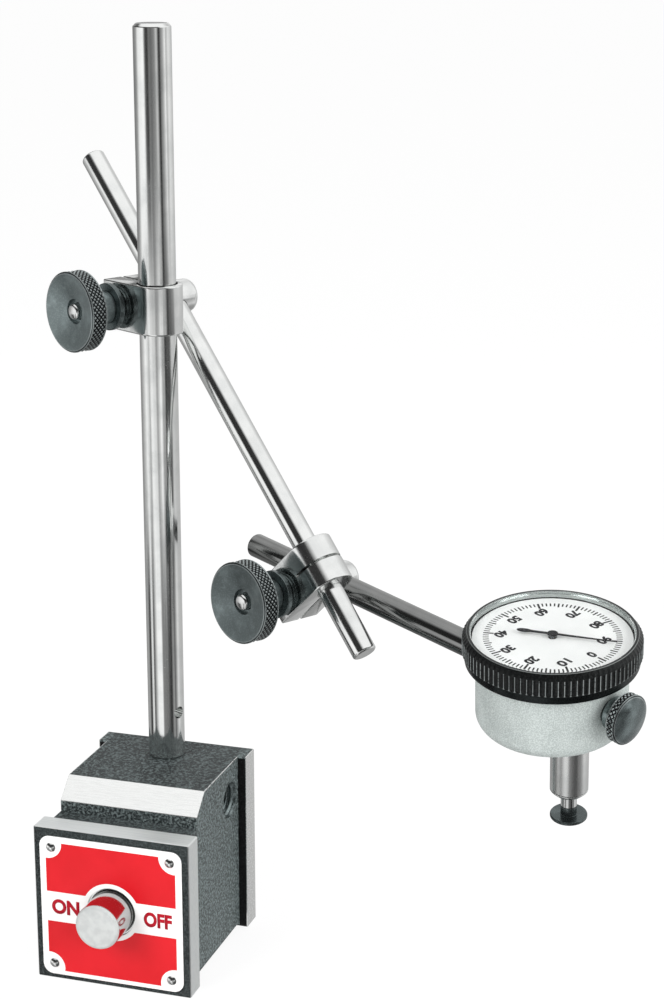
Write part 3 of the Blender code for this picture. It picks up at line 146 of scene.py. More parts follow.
EYE_OFFSET = 0.0114
EYE_SHOULDER = 0.0062
EYE_CORNER = 0.0016
WASHER_RADII = (0.0046, 0.0060)
WASHER_ENDS = (-0.00886, -0.00736, -0.0061)
KNOB_FACE = -0.02046
KNOB_RADIUS = 0.01016
KNOB_BACK = KNOB_FACE + 0.0049
KNOB_DISH = 0.0018
RECESS_RADIUS = 0.0031
RECESS_DEPTH = 0.0012
HUB_END = -0.00896
HUB_RADIUS = 0.00415

# Indicator, heights above the axis of the rod that carries it
OPENING_HEIGHT = 0.01409
OPENING_RADIUS = 0.0189
BEZEL_RADIUS = 0.0207
BEZEL_RIM_RADIUS = 0.0196
BEZEL_FOOT = 0.00859
RING_RADIUS = 0.02013
RING_FOOT = 0.00653
RING_TOP = 0.00849
NECK_TOP = 0.01065
BEZEL_BORE = 0.01905
DIAL_TOP = 0.01229
CASE_RADIUS = 0.01768
CASE_BOTTOM = -0.01031
CASE_FILLET = 0.0035
CASE_BORE = 0.0164
CASE_FLOOR = 0.0018
CASE_LEDGE_RADIUS = 0.01545
CASE_LEDGE_LEVEL = 0.0034
NECK_RADIUS = 0.0184
NECK_RISE = 0.0007
TUBE_RADII = (0.0021, 0.0032)
KNOB_SEAT = 0.01828
KNOB_CROWN = 0.02430
CLAMP_KNOB_RADIUS = 0.0060
NUT_BORE = 0.0021
NUT_DEPTH = 0.0044
NUT_COLLAR_RADIUS = 0.0040
NUT_COLLAR_LENGTH = 0.0024
NUT_DOME = 0.0011
STEM_OFFSET = 0.0067
STEM_RADIUS = 0.0046
STEM_FOOT = -0.03281
STEM_NECK_RADIUS = 0.0036
SPINDLE_RADIUS = 0.00195
SPINDLE_TOP = -0.0019
COLLAR_RADIUS, COLLAR_LENGTH = 0.0027, 0.0018
SPRING_TOP = -0.01169
CONTACT_FACE = -0.03971
CONTACT_RADIUS = 0.0045
CONTACT_THICKNESS = 0.0009
CONTACT_NECK = 0.0023
CONTACT_SCREW_RADIUS = 0.0009
DIAL_HOLE = 0.0010
DIAL_THICKNESS = 0.0005
MARK_OUTER = 0.0159
MARK_INNER = {100: 0.01450, 20: 0.01410, 10: 0.01350}
MARK_HALF_WIDTH = {100: 0.00018, 20: 0.00021, 10: 0.00026}
NUMERAL_RADIUS = 0.0117
NUMERAL_HEIGHT = 0.0023
NUMERAL_WIDTHS = (0.0014, 0.0030)
INK_SPREAD = 0.00012
HAND_LEVEL = 0.01309
HAND_READING = 92
HAND_HALF_WIDTH = 0.00042
HAND_TIP, HAND_ROOT, HAND_TAIL = 0.0149, 0.0009, -0.0044
HAND_HUB_RADIUS = 0.00125
SPADE_CENTRE = 0.0066
SPADE_RADIUS = 0.00078
SPADE_STRETCH = 2.3

# Clearance between pieces that fit in each other
CLEARANCE = 0.0001

# Camera, from the photograph, and the bearing that the studio's panels are counted from
CAMERA_PLACE = (0.2072, -0.4718, 0.2680)
CAMERA_TILT = math.radians(90 - 15.28)
CAMERA_TURN = math.radians(17.62)
PANEL_BEARING = math.radians(17.68)
LAMP_AIM = (0.03, 0.02, 0.10)
LAMP_SIZE = 0.6
FLOOR_REACH = 6.0

# Sides of the round pieces
SMOOTH_SIDES = 96
EDGE_STEPS = 4
SHARP = math.radians(38)


# Places

JOINTS = {joint["name"]: joint for joint in frame["joints"]}


def direction(joint):
    return Vector(JOINTS[joint]["axis"]).normalized()


def pivot(joint):
    return Vector(JOINTS[joint]["pos_m"])


class Place:
    """A piece's own frame: an origin and three directions square to each other."""

    def __init__(self, origin, x, y, z):
        self.origin = Vector(origin)
        self.axes = [Vector(x), Vector(y), Vector(z)]

    def matrix(self):
        placed = Matrix(self.axes).transposed().to_4x4()
        placed.translation = self.origin
        return placed

    def points(self, local):
        """Local points, an array of rows of three, in the frame of the whole object."""
        return np.asarray(local) @ np.array([list(axis) for axis in self.axes]) + np.array(self.origin)

    def moved(self, x=0.0, y=0.0, z=0.0):
        return Place(self.matrix() @ Vector((x, y, z)), *self.axes)

    def along_x(self):
        """The same origin with its Z along this frame's X."""
        x, y, z = self.axes
        return Place(self.origin, y, z, x)

    def along_y(self):
        """The same origin with its Z along this frame's Y."""
        x, y, z = self.axes
        return Place(self.origin, z, x, y)

    def turned(self, angle):
        """Turned about its own Z."""
        x, y, z = self.axes
        ahead = x * math.cos(angle) + y * math.sin(angle)
        return Place(self.origin, ahead, y * math.cos(angle) - x * math.sin(angle), z)


def snug_place(tilt_joint, bore):
    """A clamp's frame: Z along the bore, Y along the stud, origin on the bore's axis."""
    across = direction(tilt_joint)
    side = across.cross(bore)
    return Place(pivot(tilt_joint) + side * STUD_OFFSET, side, across, bore)


def eye_place(tilt_joint, slide_joint):
    """A stud's frame: Y along the stud, Z along the rod in its eye, origin where the clamp's face would be."""
    across = direction(tilt_joint)
    along = direction(slide_joint)
    return Place(pivot(tilt_joint), across.cross(along), across, along)


UP = Vector((0, 0, 1))
BASE = Place((0, 0, 0), (1, 0, 0), (0, 1, 0), (0, 0, 1))
BUTTON = Place((0, 0, BUTTON_HEIGHT), (0, 0, 1), (1, 0, 0), (0, 1, 0))
POST = Place((0, POST_PLACE, 0), (1, 0, 0), (0, 1, 0), (0, 0, 1))
POST_SNUG = snug_place("upper_rod_tilt", UP)
ARM_SNUG = snug_place("lower_rod_tilt", -direction("upper_rod_slide"))
POST_EYE = eye_place("upper_rod_tilt", "upper_rod_slide")
ARM_EYE = eye_place("lower_rod_tilt", "lower_rod_slide")
DIAL_AXIS = direction("bezel_turn")
ROD_AXIS = direction("lower_rod_slide")
INDICATOR = Place(pivot("indicator_turn"), ROD_AXIS, DIAL_AXIS.cross(ROD_AXIS), DIAL_AXIS)
STEM = INDICATOR.moved(y=STEM_OFFSET)
HAND = INDICATOR.turned(-FULL_TURN * HAND_READING / 100)


# Surfaces

def arc(centre, radius, start, end, steps=8):
    """Points at the centre plus the radius times cosine and sine of evenly spaced turns."""
    turns = np.linspace(start, end, steps + 1)
    return np.column_stack([centre[0] + radius * np.cos(turns), centre[1] + radius * np.sin(turns)])


def line(start, end, steps):
    """Evenly spaced points from start to end."""
    return np.linspace(start, end, steps + 1)


def path(*parts):
    """Single points and arrays of points as one array."""
    return np.vstack([np.atleast_2d(np.asarray(part, float)) for part in parts])


def eased(outline, width, closed=False):
    """Each sharp corner becomes a quadratic curve: the corner is its handle, and its ends lie this width before
    and after the corner, with one more point beyond each end so that the flats stay flat in the shading."""
    corners = np.asarray(outline, float)
    before = np.roll(corners, 1, axis=0) - corners
    after = np.roll(corners, -1, axis=0) - corners
    lengths = np.linalg.norm(before, axis=1), np.linalg.norm(after, axis=1)
    before = before / np.maximum(lengths[0], 1e-9)[:, None]
    after = after / np.maximum(lengths[1], 1e-9)[:, None]
    reach = np.minimum(width, 0.4 * np.minimum(*lengths))
    reach[(before * after).sum(axis=1) < -0.94] = 0
    if not closed:
        reach[[0, -1]] = 0
    share = np.linspace(0, 1, EDGE_STEPS + 1)[None, :, None]
    first = corners + before * reach[:, None]
    last = corners + after * reach[:, None]
    bend = (1 - share) ** 2 * first[:, None] + 2 * share * (1 - share) * corners[:, None]
    bend = bend + share**2 * last[:, None]
    lead = (first + before * reach[:, None] * 0.2)[:, None]
    follow = (last + after * reach[:, None] * 0.2)[:, None]
    rows = np.concatenate([lead, bend, follow], axis=1)
    kept = np.ones(rows.shape[:2], bool)
    kept[reach == 0, 1:] = False
    return rows[kept]


def area(outline):
    """Half the sum of the cross products of following points, positive for an anticlockwise outline."""
    after = np.roll(outline, -1, axis=0)
    return (outline[:, 0] * after[:, 1] - outline[:, 1] * after[:, 0]).sum() / 2


def mesh_of(name, points, polygons):
    """A mesh from an array of points and arrays of corner numbers, one array for each number of corners."""
    loops = np.concatenate([group.ravel() for group in polygons])
    sizes = np.concatenate([np.full(len(group), group.shape[1]) for group in polygons])
    used, loops = np.unique(loops, return_inverse=True)
    mesh = bpy.data.meshes.new(name)
    mesh.vertices.add(len(used))
    mesh.vertices.foreach_set("co", points[used].astype(np.float32).ravel())
    mesh.loops.add(len(loops))
    mesh.polygons.add(len(sizes))
    mesh.polygons.foreach_set("loop_start", (np.cumsum(sizes) - sizes).astype(np.int32))
    mesh.polygons.foreach_set("vertices", loops.ravel().astype(np.int32))
    mesh.update()
    mesh.validate()
    return mesh


def smoothed(mesh):
    mesh.shade_smooth()
    mesh.set_sharp_from_angle(angle=SHARP)
    return mesh


def woven(name, grid, ring_rows, ends=False):
    """A grid of points, rows by columns by three, as quads. Columns close round. Rows close
    round with ring_rows. A row that is one point becomes a pole of triangles. With ends, the
    first and the last row are filled."""
    rows, columns = grid.shape[:2]
    numbers = np.arange(rows * columns).reshape(rows, columns)
    poles = np.ptp(grid, axis=1).max(axis=1) < 1e-9
    numbers[poles] = numbers[poles, :1]
    following = np.roll(numbers, -1, axis=0), np.roll(poles, -1)
    count = rows if ring_rows else rows - 1
    corners = [numbers, np.roll(numbers, -1, 1), np.roll(following[0], -1, 1), following[0]]
    quads = np.stack(corners, axis=-1)[:count]
    plain = ~poles[:count] & ~following[1][:count]
    fans = [quads[poles[:count]][..., [0, 2, 3]], quads[following[1][:count]][..., [0, 1, 2]]]
    polygons = [quads[plain].reshape(-1, 4)] + [fan.reshape(-1, 3) for fan in fans]
    if ends:
        polygons += [numbers[:1, ::-1], numbers[-1:]]
    return mesh_of(name, grid.reshape(-1, 3), [group for group in polygons if len(group)])


def lathe(name, outline, place, sides=SMOOTH_SIDES, relief=None, ease=0.0002):
    """An outline of (radius, height) carried round the place's Z: x is the radius times the cosine of the turn,
    y the radius times its sine. relief gives what is added to the radius, from radius, height and turn."""
    ring = min(outline[0][0], outline[-1][0]) > 1e-9
    rows = eased(outline, ease, closed=ring)
    if area(rows) < 0:
        rows = rows[::-1]
    turns = np.arange(sides) * FULL_TURN / sides
    radius, turn = np.meshgrid(rows[:, 0], turns, indexing="ij")
    height = np.repeat(rows[:, 1:], sides, axis=1)
    if relief:
        radius = radius + relief(radius, height, turn)
    grid = np.stack([radius * np.cos(turn), radius * np.sin(turn), height], axis=-1)
    return smoothed(woven(name, place.points(grid), ring))


def bar(name, outline, low, high, place, ease=0.0002):
    """An outline of (x, y) carried along the place's Z. Near both ends it shrinks along its own normals by one
    minus the cosine of a turn while it moves out by the sine, which rounds the end edges."""
    rows = np.asarray(outline, float)
    if area(rows) < 0:
        rows = rows[::-1]
    run = np.roll(rows, -1, axis=0) - np.roll(rows, 1, axis=0)
    run /= np.linalg.norm(run, axis=1)[:, None]
    outward = np.column_stack([run[:, 1], -run[:, 0]])
    turns = np.linspace(0, QUARTER, EDGE_STEPS + 1)
    inset = np.concatenate([ease * (1 - np.sin(turns)), [0, 0], ease * (1 - np.cos(turns))])
    start = low + ease * (1 - np.cos(turns))
    end = high - ease * (1 - np.sin(turns))
    level = np.concatenate([start, [low + 1.3 * ease, high - 1.3 * ease], end])
    flat = rows[None] - outward[None] * inset[:, None, None]
    grid = np.concatenate([flat, np.broadcast_to(level[:, None, None], flat.shape[:2] + (1,))], axis=-1)
    return smoothed(woven(name, place.points(grid), False, ends=True))


def groove(phase):
    """A triangle wave: nought at whole numbers and one half way between."""
    return 1 - np.abs(2 * (phase % 1) - 1)


def diamond_knurl(low, high, outer, teeth, lead, depth):
    """Two families of helical grooves of opposite hand. The relief is minus the depth times one minus the
    lesser of their two triangle waves, and fades out at both ends of the band."""

    def relief(radius, height, turn):
        around = turn / FULL_TURN * teeth
        climb = (height - low) / lead
        peaks = np.minimum(groove(around + climb), groove(around - climb))
        window = np.clip((height - low) / 0.0003, 0, 1) * np.clip((high - height) / 0.0003, 0, 1)
        return np.where(radius > outer - 0.00005, -depth * (1 - peaks) * window, 0)

    return relief


def flutes(low, high, outer, count, depth):
    """Straight round-bottomed grooves: minus the depth times a power of the cosine's size, within the band."""

    def relief(radius, height, turn):
        hollow = np.abs(np.cos(turn * count / 2)) ** 0.7
        window = np.clip((height - low) / 0.0003, 0, 1) * np.clip((high - height) / 0.0005, 0, 1)
        return np.where(radius > outer - 0.0002, -depth * hollow * window, 0)

    return relief


def inner_thread(pitch, bore, depth):
    """A helical thread in a bore: the radius rises and falls with the cosine of height over pitch less turn."""

    def relief(radius, height, turn):
        wave = 0.5 + 0.5 * np.cos(FULL_TURN * height / pitch - turn)
        return np.where(radius < bore + 0.0001, -depth * wave, 0)

    return relief


def carved(mesh, cutter):
    """The mesh less the cutter, worked out at once, so that no helper stays."""
    body = bpy.data.objects.new("carving", mesh)
    tool = bpy.data.objects.new("carving_tool", cutter)
    for item in (body, tool):
        bpy.context.scene.collection.objects.link(item)
    cut = body.modifiers.new("cut", "BOOLEAN")
    cut.operation = "DIFFERENCE"
    cut.solver = "EXACT"
    cut.object = tool
    graph = bpy.context.evaluated_depsgraph_get()
    made = bpy.data.meshes.new_from_object(body.evaluated_get(graph))
    for item in (body, tool):
        bpy.data.objects.remove(item)
    made.set_sharp_from_angle(angle=SHARP)
    return made


def drill(radius, low, high, place, sides=48):
    """A plain cylinder along the place's Z, to carve with."""
    return lathe("drill", [(0, low), (radius, low), (radius, high), (0, high)], place, sides, ease=0)


def lettering(name, words, place, width, height, thickness, weight=0.0):
    """Words as a thin solid, centred on the place, scaled to this width and height."""
    curve = bpy.data.curves.new(name, "FONT")
    curve.body = words
    curve.offset = weight
    curve.resolution_u = 6
    item = bpy.data.objects.new(name, curve)
    bpy.context.scene.collection.objects.link(item)
    bpy.context.view_layer.update()
    mesh = bpy.data.meshes.new_from_object(item.evaluated_get(bpy.context.evaluated_depsgraph_get()))
    bpy.data.objects.remove(item)
    solid = bmesh.new()
    solid.from_mesh(mesh)
    bmesh.ops.remove_doubles(solid, verts=solid.verts, dist=1e-5)
    grown = bmesh.ops.extrude_face_region(solid, geom=list(solid.faces))
    for vertex in [part for part in grown["geom"] if isinstance(part, bmesh.types.BMVert)]:
        vertex.co.z += 1
    bmesh.ops.recalc_face_normals(solid, faces=solid.faces)
    solid.to_mesh(mesh)
    solid.free()
    points = np.empty(len(mesh.vertices) * 3)
    mesh.vertices.foreach_get("co", points)
    points = points.reshape(-1, 3)
    low, high = points.min(axis=0), points.max(axis=0)
    points = (points - (low + high) / 2) / (high - low) * (width, height, thickness)
    mesh.vertices.foreach_set("co", place.points(points).ravel())
    mesh.update()
    return mesh


def merged(name, meshes):
    """Several meshes as one."""
    joined = bmesh.new()
    for mesh in meshes:
        joined.from_mesh(mesh)
        bpy.data.meshes.remove(mesh)
    whole = bpy.data.meshes.new(name)
    joined.to_mesh(whole)
    joined.free()
    return whole


def piece(mesh, name, body, finish, nodes=()):
    """The mesh as a finished piece that rides on a body and stands for these CAD nodes."""
    mesh.name = name
    item = bpy.data.objects.new(name, mesh)
    bpy.context.scene.collection.objects.link(item)
    mesh.materials.clear()
    mesh.materials.append(finish)
    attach(item, body)
    if nodes:
        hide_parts(*nodes)
    return item


def machined(node, name, body, finish, width):
    """A merged copy of a CAD node with its edges broken."""
    shape = bmesh.new()
    shape.from_mesh(frame["nodes"][node].data)
    bmesh.ops.remove_doubles(shape, verts=shape.verts, dist=1e-6)
    bmesh.ops.dissolve_limit(shape, angle_limit=math.radians(0.5), verts=shape.verts, edges=shape.edges)
    mesh = bpy.data.meshes.new(name)
    shape.to_mesh(mesh)
    shape.free()
    mesh.shade_flat()
    item = piece(mesh, name, body, finish, [node])
    bevel = item.modifiers.new("broken edges", "BEVEL")
    bevel.width = width
    bevel.segments = 2
    bevel.limit_method = "ANGLE"
    bevel.angle_limit = math.radians(35)
    return item


# Shaders

class Value:
    """A shader socket that Python's operators work on, each adding a Math node."""

    def __init__(self, paint, socket):
        self.paint = paint
        self.socket = socket

    def maths(self, operation, *others):
        inputs = dict(enumerate((self, *others)))
        return self.paint.node("ShaderNodeMath", {"operation": operation}, inputs)

    def __add__(self, other):
        return self.maths("ADD", other)

    def __sub__(self, other):
        return self.maths("SUBTRACT", other)

    def __mul__(self, other):
        return self.maths("MULTIPLY", other)

    def __truediv__(self, other):
        return self.maths("DIVIDE", other)

    def __rsub__(self, other):
        return self.paint.node("ShaderNodeMath", {"operation": "SUBTRACT"}, {0: other, 1: self})

    __radd__ = __add__
    __rmul__ = __mul__

    def size(self):
        return self.maths("ABSOLUTE")

    def above(self, level):
        return self.maths("GREATER_THAN", level)

    def below(self, level):
        return self.maths("LESS_THAN", level)

    def root(self):
        return self.maths("SQRT")

    def wrapped(self):
        """The part after the decimal point."""
        return self.maths("FRACT")

    def least(self, other):
        return self.maths("MINIMUM", other)

    def most(self, other):
        return self.maths("MAXIMUM", other)

    def rise(self, low, high):
        """Nought up to low, one from high, smooth between."""
        smooth = {"interpolation_type": "SMOOTHSTEP"}
        inputs = {"Value": self, "From Min": low, "From Max": high}
        return self.paint.node("ShaderNodeMapRange", smooth, inputs)


class Paint:
    """The node tree of one material, world or lamp."""

    def __init__(self, name, owner=None):
        self.owner = owner or bpy.data.materials.new(name)
        self.owner.use_nodes = True
        self.tree = self.owner.node_tree
        self.shader = next((node for node in self.tree.nodes if node.type == "BSDF_PRINCIPLED"), None)

    def node(self, kind, settings=None, inputs=None, output=0):
        """A node of this type, with its settings made first, then its sockets' values or links."""
        made = self.tree.nodes.new(kind)
        for key, value in (settings or {}).items():
            if key == "stops":
                self.stops(made.color_ramp, value)
            else:
                setattr(made, key, value)
        for key, value in (inputs or {}).items():
            self.feed(made.inputs[key], value)
        return Value(self, made.outputs[output])

    def stops(self, ramp, stops):
        while len(ramp.elements) < len(stops):
            ramp.elements.new(1)
        for element, (position, level) in zip(ramp.elements, stops):
            element.position = position
            element.color = (level, level, level, 1)

    def feed(self, socket, value):
        if isinstance(value, Value):
            self.tree.links.new(value.socket, socket)
        elif socket.type == "RGBA":
            socket.default_value = (*value[:3], 1)
        else:
            socket.default_value = value

    def set(self, **inputs):
        """Sockets of the Principled shader, with underscores for spaces."""
        for key, value in inputs.items():
            self.feed(self.shader.inputs[key.replace("_", " ")], value)
        return self.owner

    def mix(self, mask, first, second):
        """The first colour where the mask is nought, the second where it is one."""
        settings = {"data_type": "RGBA", "clamp_factor": True}
        return self.node("ShaderNodeMix", settings, {0: mask, 6: first, 7: second}, output=2)

    def object_coordinates(self):
        return self.node("ShaderNodeTexCoord", output="Object")

    def local(self, place, scale=(1, 1, 1)):
        """Object coordinates in a piece's own frame."""
        turn = Matrix(place.axes)
        settings = {"vector_type": "POINT"}
        shift = -(turn @ place.origin)
        inputs = {"Vector": self.object_coordinates(), "Location": shift, "Rotation": turn.to_euler("XYZ")}
        there = self.node("ShaderNodeMapping", settings, inputs)
        if scale == (1, 1, 1):
            return there
        return self.node("ShaderNodeVectorMath", {"operation": "MULTIPLY"}, {0: there, 1: scale})

    def split(self, vector):
        """X, Y and Z of a vector."""
        return [self.node("ShaderNodeSeparateXYZ", None, {"Vector": vector}, output=axis) for axis in range(3)]

    def noise(self, vector, scale, detail=3.0, roughness=0.5):
        inputs = {"Vector": vector, "Scale": scale, "Detail": detail, "Roughness": roughness}
        return self.node("ShaderNodeTexNoise", None, inputs)

    def cells(self, vector, scale):
        settings = {"feature": "F1"}
        return self.node("ShaderNodeTexVoronoi", settings, {"Vector": vector, "Scale": scale})

    def bump(self, height, distance, strength=1.0):
        return self.node("ShaderNodeBump", None, {"Height": height, "Distance": distance, "Strength": strength})


def stand():
    """The scene's stand settings."""
    return bpy.context.scene.indicator_stand


def turned_marks(paint, place, round_scale=90.0, fine_scale=6000.0):
    """Faint marks of turning: noise that hardly changes round the axis and changes fast along it."""
    x, y, z = paint.split(paint.local(place))
    radius = (x * x + y * y).root()
    stretched = {"X": z * fine_scale, "Y": radius * fine_scale, "Z": x * round_scale}
    return paint.noise(paint.node("ShaderNodeCombineXYZ", None, stretched), 1.0, 2.0)


def polished_steel(name, place, roughness=0.09, shade=1.0):
    """Bright drawn bar: long faint streaks along it, small handling marks and a soft cloudiness."""
    paint = Paint(name)
    streaks = paint.noise(paint.local(place, (2600, 2600, 9)), 1.0, 2.0)
    cloud = paint.noise(paint.local(place), 160.0, 3.0)
    specks = paint.cells(paint.local(place), 900.0)
    marks = specks.below(0.09) * cloud.rise(0.5, 0.65)
    worn = streaks.rise(0.35, 0.75) * 0.07 + cloud.rise(0.4, 0.8) * 0.05 + marks * 0.2 + roughness
    plain = [level * shade for level in stand().steel_colour]
    dull = (0.60 * shade, 0.62 * shade, 0.62 * shade)
    colour = paint.mix(cloud.rise(0.35, 0.7) * 0.35 + marks * 0.3, plain, dull)
    relief = streaks * 0.6 + cloud * 0.4
    return paint.set(Base_Color=colour, Metallic=1.0, Roughness=worn, Normal=paint.bump(relief, 0.0000015))


def turned_steel(name, place, roughness=0.14):
    """Bright steel with the rings that turning leaves."""
    paint = Paint(name)
    rings = turned_marks(paint, place)
    cloud = paint.noise(paint.local(place), 220.0, 3.0)
    worn = rings.rise(0.3, 0.75) * 0.10 + cloud.rise(0.4, 0.8) * 0.06 + roughness
    colour = paint.mix(cloud.rise(0.35, 0.7) * 0.4, stand().steel_colour, (0.62, 0.63, 0.63))
    return paint.set(Base_Color=colour, Metallic=1.0, Roughness=worn, Normal=paint.bump(rings, 0.000002))


def blued_steel(name, place, roughness=0.30, crest=1.0, shade=1.0):
    """Black-oxide steel: bluish dark with rings of turning, rubbed thin in small clouds. At the
    crest radius the knurl's crests are drawn light, partly rubbed bare and partly painted highlight, just
    below them its grooves are painted near black as painted shade, and 0.5 mm below them a ring on the lip is a
    painted highlight."""
    paint = Paint(name)
    x, y, _ = paint.split(paint.local(place))
    radius = (x * x + y * y).root()
    rings = turned_marks(paint, place, 40.0, 4500.0)
    cloud = paint.noise(paint.local(place), 240.0, 4.0)
    grain = paint.noise(paint.local(place), 2600.0, 2.0)
    rubbed = cloud.rise(0.45, 0.75) * 0.5 + grain.rise(0.45, 0.7) * 0.3
    plain = [level * shade for level in stand().blued_colour]
    thin = [level * shade * 2.1 for level in stand().blued_colour]
    smooth = paint.mix(rubbed, plain, thin)
    # Partly rubbed bare and partly painted highlight: the knurl's crests are drawn light.
    worn_and_highlit_tips = radius.rise(crest - 0.00021, crest - 0.00011)
    # Painted shade: the knurl's grooves are painted near black.
    grooves = radius.rise(crest - 0.00035, crest - 0.00030) * (1 - worn_and_highlit_tips)
    # Painted highlight: a thin light ring on the lip, 0.5 mm inside the crest radius.
    lip = (radius - (crest - 0.0005)).size().below(0.00011)
    bright = worn_and_highlit_tips.most(lip * 0.8) * (grain.rise(0.2, 0.5) * 0.5 + 0.5)
    colour = paint.mix(bright, paint.mix(grooves, smooth, (0.008, 0.010, 0.011)), (0.42, 0.46, 0.46))
    worn = rings.rise(0.3, 0.7) * 0.10 + grain.rise(0.3, 0.7) * 0.06 + roughness
    relief = paint.bump(rings + grain, 0.000004)
    return paint.set(Base_Color=colour, Metallic=0.9, Roughness=worn, Normal=relief)


def crinkle(paint):
    """Height and colour of crinkle enamel: worms about 0.7 mm apart over a finer grain. The worms' crests are
    painted lighter than their hollows, painted highlight and shade, the body's sides paler still as painted
    light, and the front darker as painted shade."""
    where = paint.object_coordinates()
    worms = paint.noise(where, 1500.0, 2.0, 0.6)
    grain = paint.noise(where, 4200.0, 2.0)
    height = worms.rise(0.40, 0.60) * 0.8 + grain.rise(0.35, 0.65) * 0.4
    x, y, _ = paint.split(where)
    # Painted light: the body's sides, behind the slope's front, are painted paler.
    painted_light_sides = x.size().rise(BODY_HALF_WIDTH - 0.0004, BODY_HALF_WIDTH) * y.above(SLOPE_FRONT[0] - 0.0001)
    # Painted shade: darker towards the front, on the plate's face, the ledge under the slope and the slope's
    # foot.
    front = 1 - y.rise(0.0, 0.009) * 0.5
    cloud = paint.noise(where, 60.0, 3.0).rise(0.35, 0.7)
    # Painted highlight and shade: the colour rises with the worms' height, so crests are lighter than hollows.
    lift = worms.rise(0.42, 0.62) * (1.12 - front + painted_light_sides * 0.35) + grain.rise(0.50, 0.62) * 0.18
    lift = lift + cloud * 0.06 + painted_light_sides * 0.15
    colour = paint.mix(lift, stand().paint_colour, (0.235, 0.285, 0.285))
    return height, colour


def ground_marks(paint, scale):
    """Fine straight marks of grinding along X."""
    return paint.noise(paint.local(BASE, scale), 1.0, 3.0)


def body_finish():
    """Crinkle enamel with a ground slope, ground flange sides and a worn top edge, and painted shade, near
    black, on the flange's front step beside the body.
    """
    paint = Paint("body_enamel_and_ground_steel")
    x, y, z = paint.split(paint.object_coordinates())
    run, climb = SLOPE_BACK[0] - SLOPE_FRONT[0], SLOPE_BACK[1] - SLOPE_FRONT[1]
    length = math.hypot(run, climb)
    off = (y - SLOPE_FRONT[0]) * (climb / length) - (z - SLOPE_FRONT[1]) * (run / length)
    slope = off.size().below(0.00012) * y.below(SLOPE_BACK[0] + 0.0001)
    sides = x.size().above(PLATE_HALF_WIDTH - 0.00022) * y.above(FLANGE_FRONT - 0.001)
    feet = z.below(0.0001)
    rear = y.above(REAR_FACE - 0.0001)
    bare = slope.most(sides).most(feet).most(rear)
    chips = paint.noise(paint.object_coordinates(), 1500.0, 3.0)
    edge = x.size().above(BODY_HALF_WIDTH - 0.00017) * z.above(BODY_TOP - 0.00017) * y.below(FLANGE_FRONT)
    foot_edge = x.size().above(BODY_HALF_WIDTH - 0.00017) * y.below(SLOPE_FRONT[0] + 0.00012)
    worn = (edge * chips.above(0.40)).most(foot_edge * chips.above(0.60))
    bare = bare.most(worn)
    height, colour = crinkle(paint)
    # Painted shade: the flange's front step beside the body's side is painted near black.
    step = y.above(FLANGE_FRONT - 0.0004) * y.below(FLANGE_FRONT + 0.0004)
    step = step * x.size().above(BODY_HALF_WIDTH) * z.below(BODY_TOP - 0.0004)
    colour = paint.mix(step, colour, (0.003, 0.0035, 0.004))
    marks = ground_marks(paint, (260, 3200, 3200))
    metal = paint.mix(marks.rise(0.3, 0.7), (0.88, 0.89, 0.88), (0.97, 0.98, 0.97))
    relief = (1 - bare) * height + bare * marks * 0.02
    roughness = (1 - bare) * (0.42 + height * 0.15) + bare * (0.20 + marks * 0.12)
    colour = paint.mix(bare, colour, metal)
    relief = paint.bump(relief, CRINKLE_DEPTH)
    return paint.set(Base_Color=colour, Metallic=bare, Roughness=roughness, Normal=relief)


def plate_finish():
    """The front pole plate: ground edges, crinkle enamel on its faces."""
    paint = Paint("plate_enamel_and_ground_steel")
    _, y, _ = paint.split(paint.object_coordinates())
    painted = y.size().above(PLATE_FACE - 0.00008)
    height, colour = crinkle(paint)
    marks = ground_marks(paint, (60, 4500, 900))
    metal = paint.mix(marks.rise(0.3, 0.7), (0.86, 0.89, 0.89), (0.96, 0.98, 0.97))
    relief = painted * height + (1 - painted) * marks * 0.02
    roughness = painted * (0.42 + height * 0.15) + (1 - painted) * (0.36 + marks * 0.14)
    colour = paint.mix(painted, metal, colour)
    relief = paint.bump(relief, CRINKLE_DEPTH)
    return paint.set(Base_Color=colour, Metallic=1 - painted, Roughness=roughness, Normal=relief)


def spacer_finish():
    """Crinkle enamel all over."""
    paint = Paint("spacer_enamel")
    height, colour = crinkle(paint)
    relief = paint.bump(height, CRINKLE_DEPTH)
    return paint.set(Base_Color=colour, Roughness=0.42 + height * 0.15, Normal=relief)


def label_finish():
    """White enamel label with red fields: the fields' corners are cut by quarter circles round the rivets, and
    a white band and a white ring cross the middle."""
    paint = Paint("label_enamel")
    x, _, z = paint.split(paint.object_coordinates())
    field = x.size().below(FIELD_HALF_WIDTH) * z.above(FIELD_LOW) * z.below(FIELD_HIGH)
    middle = (RIVET_LOW + RIVET_HIGH) / 2
    corner_x = x.size() - 0.0173
    corner_z = (z - middle).size() - ((RIVET_HIGH - RIVET_LOW) / 2 + 0.0011)
    corner = (corner_x * corner_x + corner_z * corner_z).root().above(FIELD_CORNER)
    band = (z - BAND_LEVEL).size().above(BAND_HALF_HEIGHT)
    lift = z - BUTTON_HEIGHT
    ring = (x * x + lift * lift).root().above(WHITE_RING_RADIUS)
    red = field * corner * band * ring
    cloud = paint.noise(paint.object_coordinates(), 90.0, 3.0)
    grain = paint.noise(paint.object_coordinates(), 3000.0, 2.0)
    ink = paint.mix(cloud.rise(0.35, 0.7), stand().label_colour, (0.62, 0.006, 0.012))
    ground = paint.mix(cloud.rise(0.3, 0.7), (0.86, 0.86, 0.85), (0.93, 0.93, 0.92))
    colour = paint.mix(red, ground, ink)
    relief = paint.bump(red * 0.8 + grain * 0.2, 0.00002)
    return paint.set(Base_Color=colour, Roughness=0.36 + grain * 0.12, Specular_IOR_Level=0.3, Normal=relief)


